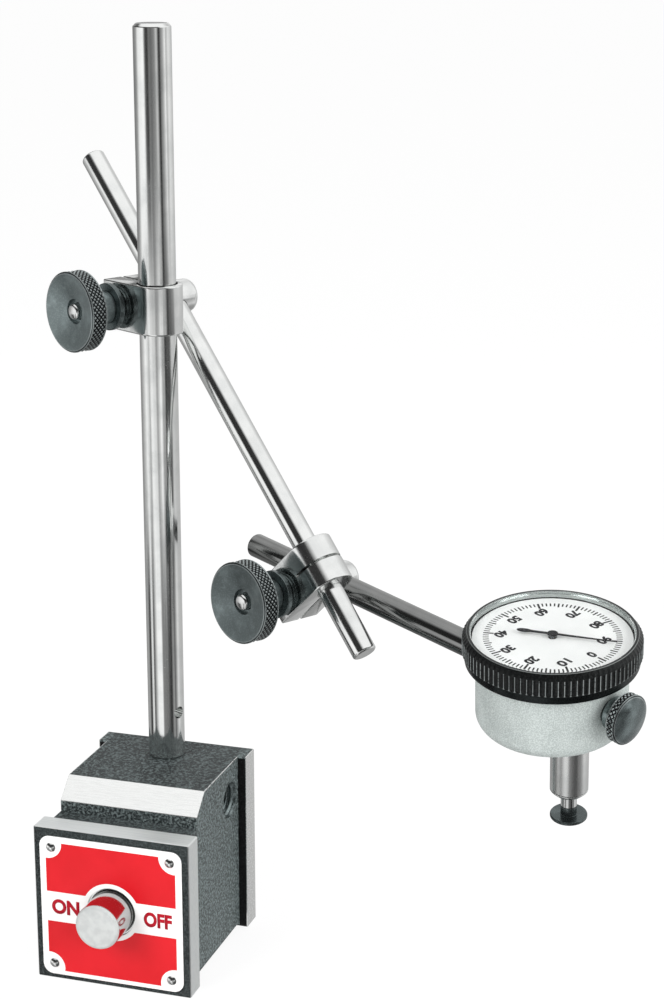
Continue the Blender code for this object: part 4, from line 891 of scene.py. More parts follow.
def ink_finish(name, colour, other):
    """Printed ink with a slightly uneven lay."""
    paint = Paint(name)
    cloud = paint.noise(paint.object_coordinates(), 1800.0, 3.0)
    tint = paint.mix(cloud.rise(0.35, 0.7), colour, other)
    return paint.set(Base_Color=tint, Roughness=0.35 + cloud * 0.15, Specular_IOR_Level=0.15)


def case_finish():
    """Satin chrome: a fine even blast grain with soft clouds."""
    paint = Paint("case_satin_chrome")
    where = paint.local(INDICATOR)
    grain = paint.noise(where, 3400.0, 2.0)
    cloud = paint.noise(where, 130.0, 3.0)
    blasted = cloud.rise(0.3, 0.7) * 0.3 + grain.rise(0.42, 0.62) * 0.7
    colour = paint.mix(blasted, stand().case_colour, (0.74, 0.80, 0.78))
    relief = paint.bump(grain, 0.00003)
    return paint.set(Base_Color=colour, Metallic=0.4, Roughness=0.40 + grain * 0.14, Normal=relief)


def bezel_finish():
    """Black-oxide ring: fluted crests drawn light, partly rubbed bare and partly painted highlight, a thin
    painted highlight ring at the rim, and a light metal inner wall round the crystal.
    """
    paint = Paint("bezel_black_and_bright")
    x, y, z = paint.split(paint.local(INDICATOR))
    radius = (x * x + y * y).root()
    wall = radius.below(OPENING_RADIUS + 0.00012)
    # Painted highlight: a thin light ring at the rim's radius, near the top.
    edge = (radius - BEZEL_RIM_RADIUS).size().below(0.00007) * z.above(OPENING_HEIGHT - 0.0003)
    bright = (wall + edge * 0.6).least(1.0) * z.above(DIAL_TOP + 0.0002)
    # The flutes' crests: partly rubbed bare and partly painted highlight.
    crest = radius.rise(BEZEL_RADIUS - 0.00013, BEZEL_RADIUS - 0.00003) * z.below(OPENING_HEIGHT - 0.0013)
    grain = paint.noise(paint.local(INDICATOR), 2400.0, 3.0)
    rubbed = crest * grain.rise(0.25, 0.5)
    black = paint.mix(grain.rise(0.4, 0.75) * 0.5, stand().bezel_colour, (0.05, 0.056, 0.056))
    dark = paint.mix(rubbed, black, (0.46, 0.50, 0.50))
    colour = paint.mix(bright, dark, (0.44, 0.47, 0.46))
    roughness = bright * -0.16 + grain * 0.12 + 0.27
    relief = paint.bump(grain, 0.000004)
    return paint.set(Base_Color=colour, Metallic=bright * 0.3 + 0.7, Roughness=roughness, Normal=relief)


def dial_finish():
    """White enamel dial. A mark stands at each whole number of hundredths of a turn: its mask is the distance
    along the circle to the nearest one, and every fifth and tenth mark reaches further in."""
    paint = Paint("dial_enamel")
    x, y, _ = paint.split(paint.local(INDICATOR))
    radius = (x * x + y * y).root()
    turn = y.maths("ARCTAN2", x) / FULL_TURN

    def marks(count):
        phase = (turn * count + count + 0.5).wrapped() - 0.5
        near = (phase.size() * (radius * (FULL_TURN / count))).below(MARK_HALF_WIDTH[count])
        return near * radius.above(MARK_INNER[count]) * radius.below(MARK_OUTER)

    black = marks(100).most(marks(20)).most(marks(10))
    # Painted shadow: a black ring round the dial's edge, where the bezel shades it.
    rim = radius.above(0.01835)
    cloud = paint.noise(paint.local(INDICATOR), 120.0, 3.0)
    ground = paint.mix(cloud.rise(0.3, 0.7), (0.80, 0.81, 0.80), (0.86, 0.87, 0.86))
    colour = paint.mix(black.most(rim), ground, (0.006, 0.006, 0.006))
    return paint.set(Base_Color=colour, Roughness=0.45 + cloud * 0.08, Specular_IOR_Level=0.2)


def crystal_finish():
    """Clear plastic with a faint smear."""
    paint = Paint("clear_crystal")
    smear = paint.noise(paint.local(INDICATOR), 80.0, 2.0)
    clear, relief = (0.98, 0.99, 0.99), paint.bump(smear, 0.00001)
    return paint.set(Base_Color=clear, Transmission_Weight=1.0, IOR=1.05, Roughness=0.0, Normal=relief)


def brass_finish(name):
    """Blanked brass with a soft cloudiness."""
    paint = Paint(name)
    where = paint.object_coordinates()
    cloud = paint.noise(where, 260.0, 3.0)
    grain = paint.noise(where, 3200.0, 2.0)
    colour = paint.mix(cloud.rise(0.3, 0.7), (0.72, 0.53, 0.23), (0.58, 0.40, 0.15))
    relief = paint.bump(grain, 0.000003)
    return paint.set(Base_Color=colour, Metallic=1.0, Roughness=0.24 + grain * 0.12, Normal=relief)


def button_finish():
    """Bright turned sides and a satin face."""
    paint = Paint("button_steel")
    _, _, z = paint.split(paint.local(BUTTON))
    face = 1 - z.rise(BUTTON_FACE + 0.0004, BUTTON_FACE + BUTTON_EDGE)
    rings = turned_marks(paint, BUTTON)
    cloud = paint.noise(paint.local(BUTTON), 500.0, 3.0)
    colour = paint.mix(cloud.rise(0.3, 0.7), (0.55, 0.57, 0.565), (0.64, 0.66, 0.65))
    metal = paint.mix(face, (0.50, 0.50, 0.50), colour)
    roughness = face * 0.3 + rings * 0.06 + 0.10
    relief = paint.bump(rings, 0.000002)
    return paint.set(Base_Color=metal, Metallic=1 - face * 0.75, Roughness=roughness, Normal=relief)


def hidden_steel(name, colour, other, metallic, roughness):
    """Two colours in a fine grain, for the pieces inside."""
    paint = Paint(name)
    grain = paint.noise(paint.object_coordinates(), 2200.0, 3.0)
    tint = paint.mix(grain.rise(0.3, 0.7), colour, other)
    return paint.set(Base_Color=tint, Metallic=metallic, Roughness=grain * 0.15 + roughness)


# Settings

def colour_property(name, description, default):
    return bpy.props.FloatVectorProperty(
        name=name, description=description, subtype="COLOR", size=3, min=0, max=1, default=default
    )


def length_property(name, description, default):
    return bpy.props.FloatProperty(
        name=name, description=description, subtype="DISTANCE", unit="LENGTH", min=0, default=default
    )


class IndicatorStandSettings(bpy.types.PropertyGroup):
    """Colours, small sizes and the studio of the indicator stand."""

    steel_colour: colour_property("Bright steel", "Colour of the polished steel", (0.88, 0.89, 0.88))
    blued_colour: colour_property("Blued steel", "Colour of the black-oxide knobs", (0.150, 0.178, 0.180))
    bezel_colour: colour_property("Bezel", "Colour of the dial's black ring", (0.012, 0.013, 0.013))
    # The crinkle enamel's colour in its hollows, where its painted shade is deepest.
    paint_colour: colour_property("Crinkle enamel", "Colour of the base's enamel in its hollows",
                                  (0.010, 0.014, 0.015))
    label_colour: colour_property("Label", "Colour of the label's red fields", (0.68, 0.008, 0.016))
    case_colour: colour_property("Case", "Colour of the indicator's satin case", (0.47, 0.525, 0.51))
    knurl_depth: length_property("Knurl depth", "Depth of the diamond knurl", 0.00030)
    knurl_lead: length_property("Knurl lead", "Height of one tooth of the knurl", 0.00115)
    flute_depth: length_property("Flute depth", "Depth of the bezel's flutes", 0.00030)
    flute_count: bpy.props.IntProperty(
        name="Flutes", description="Flutes round the bezel", min=12, default=92
    )
    thread_pitch: length_property("Thread pitch", "Pitch of the thread in the side socket", 0.00125)
    edge_width: length_property("Broken edge", "Width of the machined base's broken edges", 0.00022)
    lamp_power: bpy.props.FloatProperty(
        name="Lamp power", description="Power of the main lamp", unit="POWER", min=0, default=7.1
    )
    sky_level: bpy.props.FloatProperty(
        name="Sky level", description="Level of the even light", min=0, default=0.60
    )
    floor_colour: colour_property("Floor", "Colour of the floor", (0.90, 0.90, 0.90))
    lens: bpy.props.FloatProperty(
        name="Lens", description="Focal length of the camera", subtype="DISTANCE_CAMERA", default=79.2
    )


class MakeBase(bpy.types.Operator):
    """Machined body, front plate and spacer, with the threaded socket in the side"""

    bl_idname = "indicator_stand.base"
    bl_label = "Base"
    bl_options = {"REGISTER", "UNDO"}

    def execute(self, context):
        chosen = context.scene.indicator_stand
        machined("base_body", "base_casting", "base", body_finish(), chosen.edge_width)
        machined("front_pole_plate", "front_plate", "base", plate_finish(), chosen.edge_width)
        machined("spacer", "plate_spacer", "base", spacer_finish(), chosen.edge_width)
        place = Place((0, *SOCKET_PLACE), (0, 1, 0), (0, 0, 1), (1, 0, 0))
        low, high = BODY_HALF_WIDTH - SOCKET_DEPTH + 0.0002, BODY_HALF_WIDTH - 0.00005
        outer, bore = SOCKET_RADIUS - 0.00003, SOCKET_RADIUS - 0.0002
        mouth = high - THREAD_DEPTH
        outline = path((outer, low), (outer, high), line((bore, mouth), (bore, low), 70))
        thread = inner_thread(chosen.thread_pitch, bore, THREAD_DEPTH)
        mesh = lathe("socket_thread", outline, place, 64, thread, ease=0.0)
        steel = blued_steel("socket_steel", place, 0.2, shade=1.5)
        piece(mesh, "socket_thread", "base", steel)
        return {"FINISHED"}


class MakeLabel(bpy.types.Operator):
    """Enamelled label with its rivets and its two words"""

    bl_idname = "indicator_stand.label"
    bl_label = "Label"
    bl_options = {"REGISTER", "UNDO"}

    def execute(self, context):
        front = Place((0, 0, 0), (1, 0, 0), (0, 0, 1), (0, -1, 0))
        half = LABEL_HALF_WIDTH
        corners = [(half, LABEL_HIGH), (-half, LABEL_HIGH), (-half, LABEL_LOW), (half, LABEL_LOW)]
        signs = [(-1, -1), (1, -1), (1, 1), (-1, 1)]
        radius = LABEL_CORNER
        outline = path(*[
            arc((x + sx * radius, z + sz * radius), radius, turn * QUARTER, (turn + 1) * QUARTER)
            for turn, ((x, z), (sx, sz)) in enumerate(zip(corners, signs))
        ])
        sheet = bar("label", outline, -LABEL_BACK, -LABEL_FRONT, front, ease=0.0001)
        sheet = carved(sheet, drill(LABEL_HOLE, 0, 0.01, front.moved(y=BUTTON_HEIGHT), 96))
        piece(sheet, "label", "base", label_finish(), ["label_plate"])
        meshes = []
        for word, x in WORDS:
            spot = front.moved(x, WORD_LEVEL, -LABEL_FRONT + 0.00001)
            meshes.append(lettering("word", word, spot, *WORD_SIZE, PRINT_THICKNESS, WORD_WEIGHT))
        ink = ink_finish("dark_red_ink", (0.40, 0.008, 0.020), (0.46, 0.012, 0.026))
        piece(merged("label_words", meshes), "label_words", "base", ink)
        self.rivets(front)
        return {"FINISHED"}

    def rivets(self, front):
        places = [
            front.moved(side * RIVET_ACROSS, height) for height in (RIVET_HIGH, RIVET_LOW) for side in (-1, 1)
        ]
        seat = -LABEL_FRONT + 0.0001
        dome = arc((0, seat - 0.0011), 0.0017, math.radians(40), QUARTER, 8)
        outline = path((0, seat - 0.0035), (0.0007, seat - 0.0035), (0.0007, seat), dome, (0, seat + 0.0006))
        nodes = [f"label_rivet_{number}" for number in range(1, 5)]
        heads = merged("label_rivets", [lathe("rivet", outline, place, 32, ease=0.00005) for place in places])
        steel = turned_steel("rivet_steel", front, 0.12)
        piece(smoothed(heads), "label_rivets", "base", steel, nodes)


class MakeButton(bpy.types.Operator):
    """Push button with its rod and the bush round it"""

    bl_idname = "indicator_stand.button"
    bl_label = "Push button"
    bl_options = {"REGISTER", "UNDO"}

    def execute(self, context):
        face, back, edge = BUTTON_FACE, BUTTON_BACK, BUTTON_EDGE
        rod, collar = BUTTON_ROD_RADIUS, BUTTON_COLLAR_RADIUS
        low, high = BUTTON_COLLAR_ENDS
        rim = arc((BUTTON_RADIUS - edge, face + edge), edge, -QUARTER, 0, 8)
        outline = path(
            (0, face), (0.0030, face), rim, (BUTTON_RADIUS, back), (rod, back), (rod, low), (collar, low),
            (collar, high), (rod, high), (rod, BUTTON_ROD_END), (0, BUTTON_ROD_END),
        )
        mesh = lathe("button", outline, BUTTON, ease=0.0001)
        piece(mesh, "button", "button", button_finish(), ["push_button"])
        (inner, outer), (front, rear) = BUSH_RADII, BUSH_ENDS
        ring = [(inner, front), (outer, front), (outer, rear), (inner, rear)]
        mesh = lathe("bush", ring, BUTTON, ease=0.0003)
        steel = turned_steel("bush_steel", BUTTON, 0.16)
        piece(mesh, "button_bush", "base", steel, ["front_guide_bush"])
        return {"FINISHED"}


class MakePost(bpy.types.Operator):
    """Upright post with its chamfer and its tommy hole"""

    bl_idname = "indicator_stand.post"
    bl_label = "Upright post"
    bl_options = {"REGISTER", "UNDO"}

    def execute(self, context):
        foot, shoulder, narrow = BODY_TOP - POST_FOOT_DEPTH, BODY_TOP + 0.0002, POST_FOOT_RADIUS
        outline = [(0, foot), (narrow, foot), (narrow, shoulder), (POST_RADIUS, shoulder)]
        rim, edge = POST_RADIUS - POST_CHAMFER, POST_TOP - POST_CHAMFER
        outline += [(POST_RADIUS, edge), (rim, POST_TOP), (0, POST_TOP)]
        mesh = lathe("post", outline, POST)
        across = POST.moved(z=TOMMY_HEIGHT).turned(TOMMY_TURN).along_x()
        mesh = carved(mesh, drill(TOMMY_RADIUS, -0.006, 0.006, across))
        piece(mesh, "post", "post", polished_steel("post_steel", POST), ["upright_post"])
        return {"FINISHED"}


class MakeRods(bpy.types.Operator):
    """The two arm rods"""

    bl_idname = "indicator_stand.rods"
    bl_label = "Arm rods"
    bl_options = {"REGISTER", "UNDO"}

    def execute(self, context):
        upper = POST_EYE.moved(y=EYE_OFFSET)
        back, reach = ROD_LIMITS["upper"]
        radius, chamfer = ARM_RADIUS, ARM_CHAMFER
        outline = [(0, back), (radius - chamfer, back), (radius, back + chamfer), (radius, reach - chamfer)]
        outline += [(radius - chamfer, reach), (0, reach)]
        mesh = lathe("upper_rod", outline, upper, 72)
        steel = polished_steel("upper_rod_steel", upper)
        piece(mesh, "upper_rod", "upper_rod", steel, ["upper_arm_rod"])
        lower = ARM_EYE.moved(y=EYE_OFFSET)
        back, reach = ROD_LIMITS["lower"]
        outline = [(0, back), (radius - chamfer, back), (radius, back + chamfer), (radius, reach)]
        outline += [(SHANK_RADIUS, reach), (SHANK_RADIUS, SHANK_TIP), (0, SHANK_TIP)]
        mesh = lathe("lower_rod", outline, lower, 72)
        steel = polished_steel("lower_rod_steel", lower, 0.1, 0.30)
        piece(mesh, "lower_rod", "lower_rod", steel, ["lower_arm_rod"])
        return {"FINISHED"}


class MakeClamps(bpy.types.Operator):
    """Split blocks, washers and eye studs of the two snug clamps"""

    bl_idname = "indicator_stand.clamps"
    bl_label = "Snug clamps"
    bl_options = {"REGISTER", "UNDO"}

    def execute(self, context):
        self.clamp("post_clamp", POST_SNUG, POST_EYE, POST_RADIUS + CLEARANCE, False)
        self.clamp("arm_clamp", ARM_SNUG, ARM_EYE, ARM_RADIUS + CLEARANCE, True)
        return {"FINISHED"}

    def clamp(self, name, place, eye, bore, slotted):
        """One clamp: its split block, with a saw slot across it or without, its washer and its stud."""
        stud_axis = place.moved(x=-STUD_OFFSET).along_y()
        half = CLAMP_HALF_LENGTH
        block = bar(name, self.block_outline(bore), -half, half, place, ease=0.00035)
        block = carved(block, drill(STUD_RADIUS + 0.0002, -0.008, 0.008, stud_axis))
        if slotted:
            saw = [(-0.0020, -0.009), (0.009, -0.009), (0.009, 0.009), (-0.0020, 0.009)]
            block = carved(block, bar("saw", saw, -SAW_SLOT / 2, SAW_SLOT / 2, place, ease=0.00001))
        steel = polished_steel(name + "_block_steel", place, 0.12)
        piece(block, name + "_body", name, steel, [name + "_block"])
        bored = STUD_RADIUS + CLEARANCE
        (neck, rim), (front, step, back) = WASHER_RADII, WASHER_ENDS
        ring = [(bored, front), (rim, front), (rim, step), (neck, step), (neck, back), (bored, back)]
        mesh = lathe(name, ring, stud_axis, ease=0.0003)
        steel = blued_steel(name + "_washer_steel", stud_axis, 0.14, shade=0.8)
        piece(mesh, name + "_cup_washer", name, steel, [name + "_washer"])
        self.stud(name, eye)

    def block_outline(self, bore):
        """Round nose, flat cheeks with eased tail corners, and a slit from the tail to the bore."""
        slit = CLAMP_SLIT / 2
        turn = math.asin(slit / bore)
        nose = arc((CLAMP_NOSE, 0), CLAMP_HALF_WIDTH, -QUARTER, QUARTER, 40)
        hole = arc((0, 0), bore, math.pi - turn, turn - math.pi, 72)
        corner = 0.0005
        upper = arc((-CLAMP_TAIL + corner, CLAMP_HALF_WIDTH - corner), corner, QUARTER, math.pi, 5)
        lower = arc((-CLAMP_TAIL + corner, corner - CLAMP_HALF_WIDTH), corner, math.pi, 3 * QUARTER, 5)
        mouth = -bore - 0.0002
        inward = line((-CLAMP_TAIL, slit), (mouth, slit), 4)
        outward = line((mouth, -slit), (-CLAMP_TAIL, -slit), 4)
        upper_cheek = line((-0.001, CLAMP_HALF_WIDTH), (-0.012, CLAMP_HALF_WIDTH), 6)
        lower_cheek = line((-0.012, -CLAMP_HALF_WIDTH), (-0.001, -CLAMP_HALF_WIDTH), 6)
        return path(nose, upper_cheek, upper, inward, hole, outward, lower, lower_cheek)

    def stud(self, name, eye):
        end = KNOB_FACE + 0.0010
        dome = arc((EYE_RADIUS - EYE_CORNER, EYE_TIP - EYE_CORNER), EYE_CORNER, 0, QUARTER, 10)
        outline = path(
            (0, end - 0.0002), (0.0012, end), (STUD_RADIUS - 0.0004, end + 0.0001), (STUD_RADIUS, end + 0.0005),
            (STUD_RADIUS, EYE_SHOULDER), (EYE_RADIUS, EYE_SHOULDER), dome,
            (0.0014, EYE_TIP + 0.00001), (0, EYE_TIP + 0.00002),
        )
        mesh = lathe(name, outline, eye.along_y(), 72)
        mesh = carved(mesh, drill(ARM_RADIUS + CLEARANCE, -0.008, 0.008, eye.moved(y=EYE_OFFSET)))
        steel = turned_steel(name + "_stud_steel", eye.along_y(), 0.12)
        piece(mesh, name + "_eye_stud", name + "_eye", steel, [name + "_stud"])


class MakeKnobs(bpy.types.Operator):
    """Dished knurled knobs of the snug clamps"""

    bl_idname = "indicator_stand.knobs"
    bl_label = "Clamp knobs"
    bl_options = {"REGISTER", "UNDO"}

    def execute(self, context):
        chosen = context.scene.indicator_stand
        # Painted light: the post clamp's knob is painted lighter than the arm clamp's, at 1.5 against 1.05
        # times the blued colour, though both have one finish.
        for name, eye, shade in (("post_clamp", POST_EYE, 1.5), ("arm_clamp", ARM_EYE, 1.05)):
            place = eye.along_y()
            mesh = lathe(name, self.outline(), place, 384, self.knurl(chosen), ease=0.00012)
            finish = blued_steel(name + "_knob_steel", place, 0.28, KNOB_RADIUS, shade)
            piece(mesh, name + "_knurled_knob", name + "_knob", finish, [name + "_knob"])
        return {"FINISHED"}

    def knurl(self, chosen):
        low, high = KNOB_FACE + 0.0004, KNOB_BACK - 0.0004
        return diamond_knurl(low, high, KNOB_RADIUS, 48, chosen.knurl_lead, chosen.knurl_depth)

    def outline(self):
        """A shallow cone runs from the lip to the recess round the stud, and the rim steps down to the hub."""
        bore = STUD_RADIUS + CLEARANCE
        dish = KNOB_FACE + KNOB_DISH
        recess = dish + RECESS_DEPTH
        lip = KNOB_RADIUS - 0.0005
        cone = line((RECESS_RADIUS, dish), (lip - 0.0006, KNOB_FACE + 0.00015), 4)
        rim = line((KNOB_RADIUS, KNOB_FACE + 0.0004), (KNOB_RADIUS, KNOB_BACK - 0.0004), 26)
        back = [(lip, KNOB_BACK), (HUB_RADIUS + 0.0004, KNOB_BACK), (HUB_RADIUS, KNOB_BACK + 0.0004)]
        return path(
            (bore, recess), (RECESS_RADIUS, recess), cone, (lip, KNOB_FACE), rim, back,
            (HUB_RADIUS, HUB_END), (bore, HUB_END),
        )


class MakeCase(bpy.types.Operator):
    """Indicator case and the tube that crosses it"""

    bl_idname = "indicator_stand.case"
    bl_label = "Indicator case"
    bl_options = {"REGISTER", "UNDO"}

    def execute(self, context):
        foot = arc((CASE_RADIUS - CASE_FILLET, CASE_BOTTOM + CASE_FILLET), CASE_FILLET, -QUARTER, 0, 12)
        floor, top = CASE_BOTTOM + CASE_FLOOR, NECK_TOP + NECK_RISE
        inner, ledge, level = CASE_BORE, CASE_LEDGE_RADIUS, CASE_LEDGE_LEVEL
        outline = path(
            (0, CASE_BOTTOM), foot, (CASE_RADIUS, NECK_TOP), (NECK_RADIUS, NECK_TOP), (NECK_RADIUS, top),
            (inner, top), (inner, level), (ledge, level), (ledge, floor), (0, floor),
        )
        mesh = lathe("case", outline, INDICATOR, 128)
        mesh = carved(mesh, drill(0.0033, -0.02, 0.02, INDICATOR.along_x()))
        mesh = carved(mesh, drill(0.0037, CASE_BOTTOM - 0.001, floor + 0.001, STEM))
        piece(mesh, "case", "indicator", case_finish(), ["indicator_case"])
        end = CASE_RADIUS + 0.0005
        bore, outer = TUBE_RADII
        ring = [(bore, -end), (outer, -end), (outer, end), (bore, end)]
        across = INDICATOR.along_x()
        mesh = lathe("tube", ring, across, 64)
        steel = blued_steel("carrier_tube_steel", across, 0.2, shade=0.35)
        piece(mesh, "carrier_tube", "indicator", steel, ["cross_tube"])
        return {"FINISHED"}


class MakeClampNut(bpy.types.Operator):
    """Knurled nut with a smooth domed face at the rod's end"""

    bl_idname = "indicator_stand.clamp_nut"
    bl_label = "Clamp nut"
    bl_options = {"REGISTER", "UNDO"}

    def execute(self, context):
        chosen = context.scene.indicator_stand
        place = INDICATOR.along_x()
        radius, bore, rim = CLAMP_KNOB_RADIUS, NUT_BORE, KNOB_CROWN - NUT_DOME
        floor, shoulder = KNOB_SEAT + NUT_DEPTH, KNOB_SEAT + NUT_COLLAR_LENGTH
        dome = [(share * (radius - 0.0004), KNOB_CROWN - NUT_DOME * share**2) for share in np.linspace(1, 0, 9)]
        band = line((radius, shoulder + 0.0004), (radius, rim - 0.0002), 22)
        collar = [(NUT_COLLAR_RADIUS, KNOB_SEAT), (NUT_COLLAR_RADIUS, shoulder), (radius - 0.0004, shoulder)]
        outline = path((0, floor), (bore, floor), (bore, KNOB_SEAT), collar, band, dome)
        low, high = shoulder + 0.0003, rim - 0.0002
        relief = diamond_knurl(low, high, radius, 32, chosen.knurl_lead, chosen.knurl_depth * 0.9)
        mesh = lathe("nut", outline, place, 256, relief, ease=0.0001)
        steel = blued_steel("clamp_nut_steel", place, 0.07, radius, 0.95)
        piece(mesh, "clamp_nut", "clamp_knob", steel, ["clamp_knob"])
        return {"FINISHED"}


class MakeBezel(bpy.types.Operator):
    """Fluted bezel, its lower ring and the crystal"""

    bl_idname = "indicator_stand.bezel"
    bl_label = "Bezel"
    bl_options = {"REGISTER", "UNDO"}

    def execute(self, context):
        chosen = context.scene.indicator_stand
        seat = OPENING_HEIGHT - 0.0007
        ledge, bore, lip = DIAL_TOP + CLEARANCE, BEZEL_BORE, OPENING_RADIUS - 0.0003
        top = OPENING_HEIGHT - 0.0015
        band = line((BEZEL_RADIUS, BEZEL_FOOT + 0.0002), (BEZEL_RADIUS, top), 12)
        outline = path(
            (bore, BEZEL_FOOT), (BEZEL_RADIUS - 0.0003, BEZEL_FOOT), band, (BEZEL_RIM_RADIUS, OPENING_HEIGHT),
            (OPENING_RADIUS, OPENING_HEIGHT), (OPENING_RADIUS, seat), (lip, seat), (lip, ledge), (bore, ledge),
        )
        relief = flutes(BEZEL_FOOT + 0.0001, top + 0.0004, BEZEL_RADIUS, chosen.flute_count, chosen.flute_depth)
        mesh = lathe("bezel", outline, INDICATOR, chosen.flute_count * 10, relief, ease=0.0001)
        piece(mesh, "fluted_bezel", "bezel", bezel_finish(), ["bezel"])
        inner, collar, collar_top = CASE_RADIUS + CLEARANCE, bore - CLEARANCE, NECK_TOP - CLEARANCE
        outline = [(inner, RING_FOOT), (RING_RADIUS, RING_FOOT), (RING_RADIUS, RING_TOP), (collar, RING_TOP)]
        outline += [(collar, collar_top), (inner, collar_top)]
        mesh = lathe("ring", outline, INDICATOR, 160, ease=0.00025)
        steel = blued_steel("lower_ring_steel", INDICATOR, 0.2, shade=0.13)
        piece(mesh, "lower_ring", "bezel", steel, ["bezel_ring"])
        self.crystal()
        return {"FINISHED"}

    def crystal(self):
        """A shell of even thickness: its height falls with the square of the radius."""
        radius, foot = OPENING_RADIUS - 0.0001, OPENING_HEIGHT - 0.0006
        shares = np.linspace(1, 0, 13)
        under = np.column_stack([radius * shares, foot + 0.0006 * (1 - shares**2)])
        outline = path(under, (under + (0, 0.0006))[::-1])
        mesh = lathe("crystal", outline, INDICATOR, 128, ease=0.0)
        item = piece(mesh, "domed_crystal", "bezel", crystal_finish(), ["crystal"])
        item.visible_shadow = False
        item.visible_diffuse = False


class MakeDial(bpy.types.Operator):
    """Dial plate with its marks and numerals"""

    bl_idname = "indicator_stand.dial"
    bl_label = "Dial"
    bl_options = {"REGISTER", "UNDO"}

    def execute(self, context):
        foot, rim = DIAL_TOP - DIAL_THICKNESS, BEZEL_BORE - CLEARANCE
        ring = [(DIAL_HOLE, foot), (rim, foot), (rim, DIAL_TOP), (DIAL_HOLE, DIAL_TOP)]
        mesh = lathe("dial", ring, INDICATOR, 128, ease=0.00005)
        piece(mesh, "dial", "bezel", dial_finish(), ["dial_plate"])
        numerals = []
        for number in range(10):
            turn = -FULL_TURN * number / 10
            across, along = NUMERAL_RADIUS * math.cos(turn), NUMERAL_RADIUS * math.sin(turn)
            upright = INDICATOR.moved(across, along, DIAL_TOP + 0.00003).turned(-QUARTER)
            words = str(number * 10)
            width = NUMERAL_WIDTHS[min(number, 1)]
            for x, y in ((-1, -1), (-1, 1), (1, -1), (1, 1)):
                copy = upright.moved(x * INK_SPREAD, y * INK_SPREAD, (x + y / 2) * 0.000005)
                numerals.append(lettering("numeral", words, copy, width, NUMERAL_HEIGHT, PRINT_THICKNESS))
        ink = ink_finish("dial_ink", (0.010, 0.010, 0.011), (0.022, 0.022, 0.024))
        piece(merged("dial_numerals", numerals), "dial_numerals", "bezel", ink)
        return {"FINISHED"}


class MakeHand(bpy.types.Operator):
    """Black hand with a spade tail and a round hub"""

    bl_idname = "indicator_stand.hand"
    bl_label = "Hand"
    bl_options = {"REGISTER", "UNDO"}

    def execute(self, context):
        half = HAND_HALF_WIDTH
        spade = arc((-SPADE_CENTRE, 0), SPADE_RADIUS, math.radians(40), math.radians(320), 16)
        spade[:, 0] = (spade[:, 0] + SPADE_CENTRE) * SPADE_STRETCH - SPADE_CENTRE
        outline = path(
            (HAND_TIP, -half / 3), (HAND_TIP, half / 3), (HAND_ROOT, half), (HAND_TAIL, half), spade,
            (HAND_TAIL, -half), (HAND_ROOT, -half),
        )
        mesh = bar("pointer", outline, HAND_LEVEL, HAND_LEVEL + 0.00015, HAND, ease=0.00003)
        low, high = HAND_LEVEL - 0.00005, HAND_LEVEL + 0.0003
        hub = [(0, low), (HAND_HUB_RADIUS, low), (HAND_HUB_RADIUS, high), (0, high)]
        boss = lathe("boss", hub, HAND, 48, ease=0.0001)
        ink = ink_finish("hand_enamel", (0.008, 0.008, 0.009), (0.02, 0.02, 0.022))
        piece(smoothed(merged("hand", [mesh, boss])), "hand", "hand", ink, ["main_hand"])
        return {"FINISHED"}


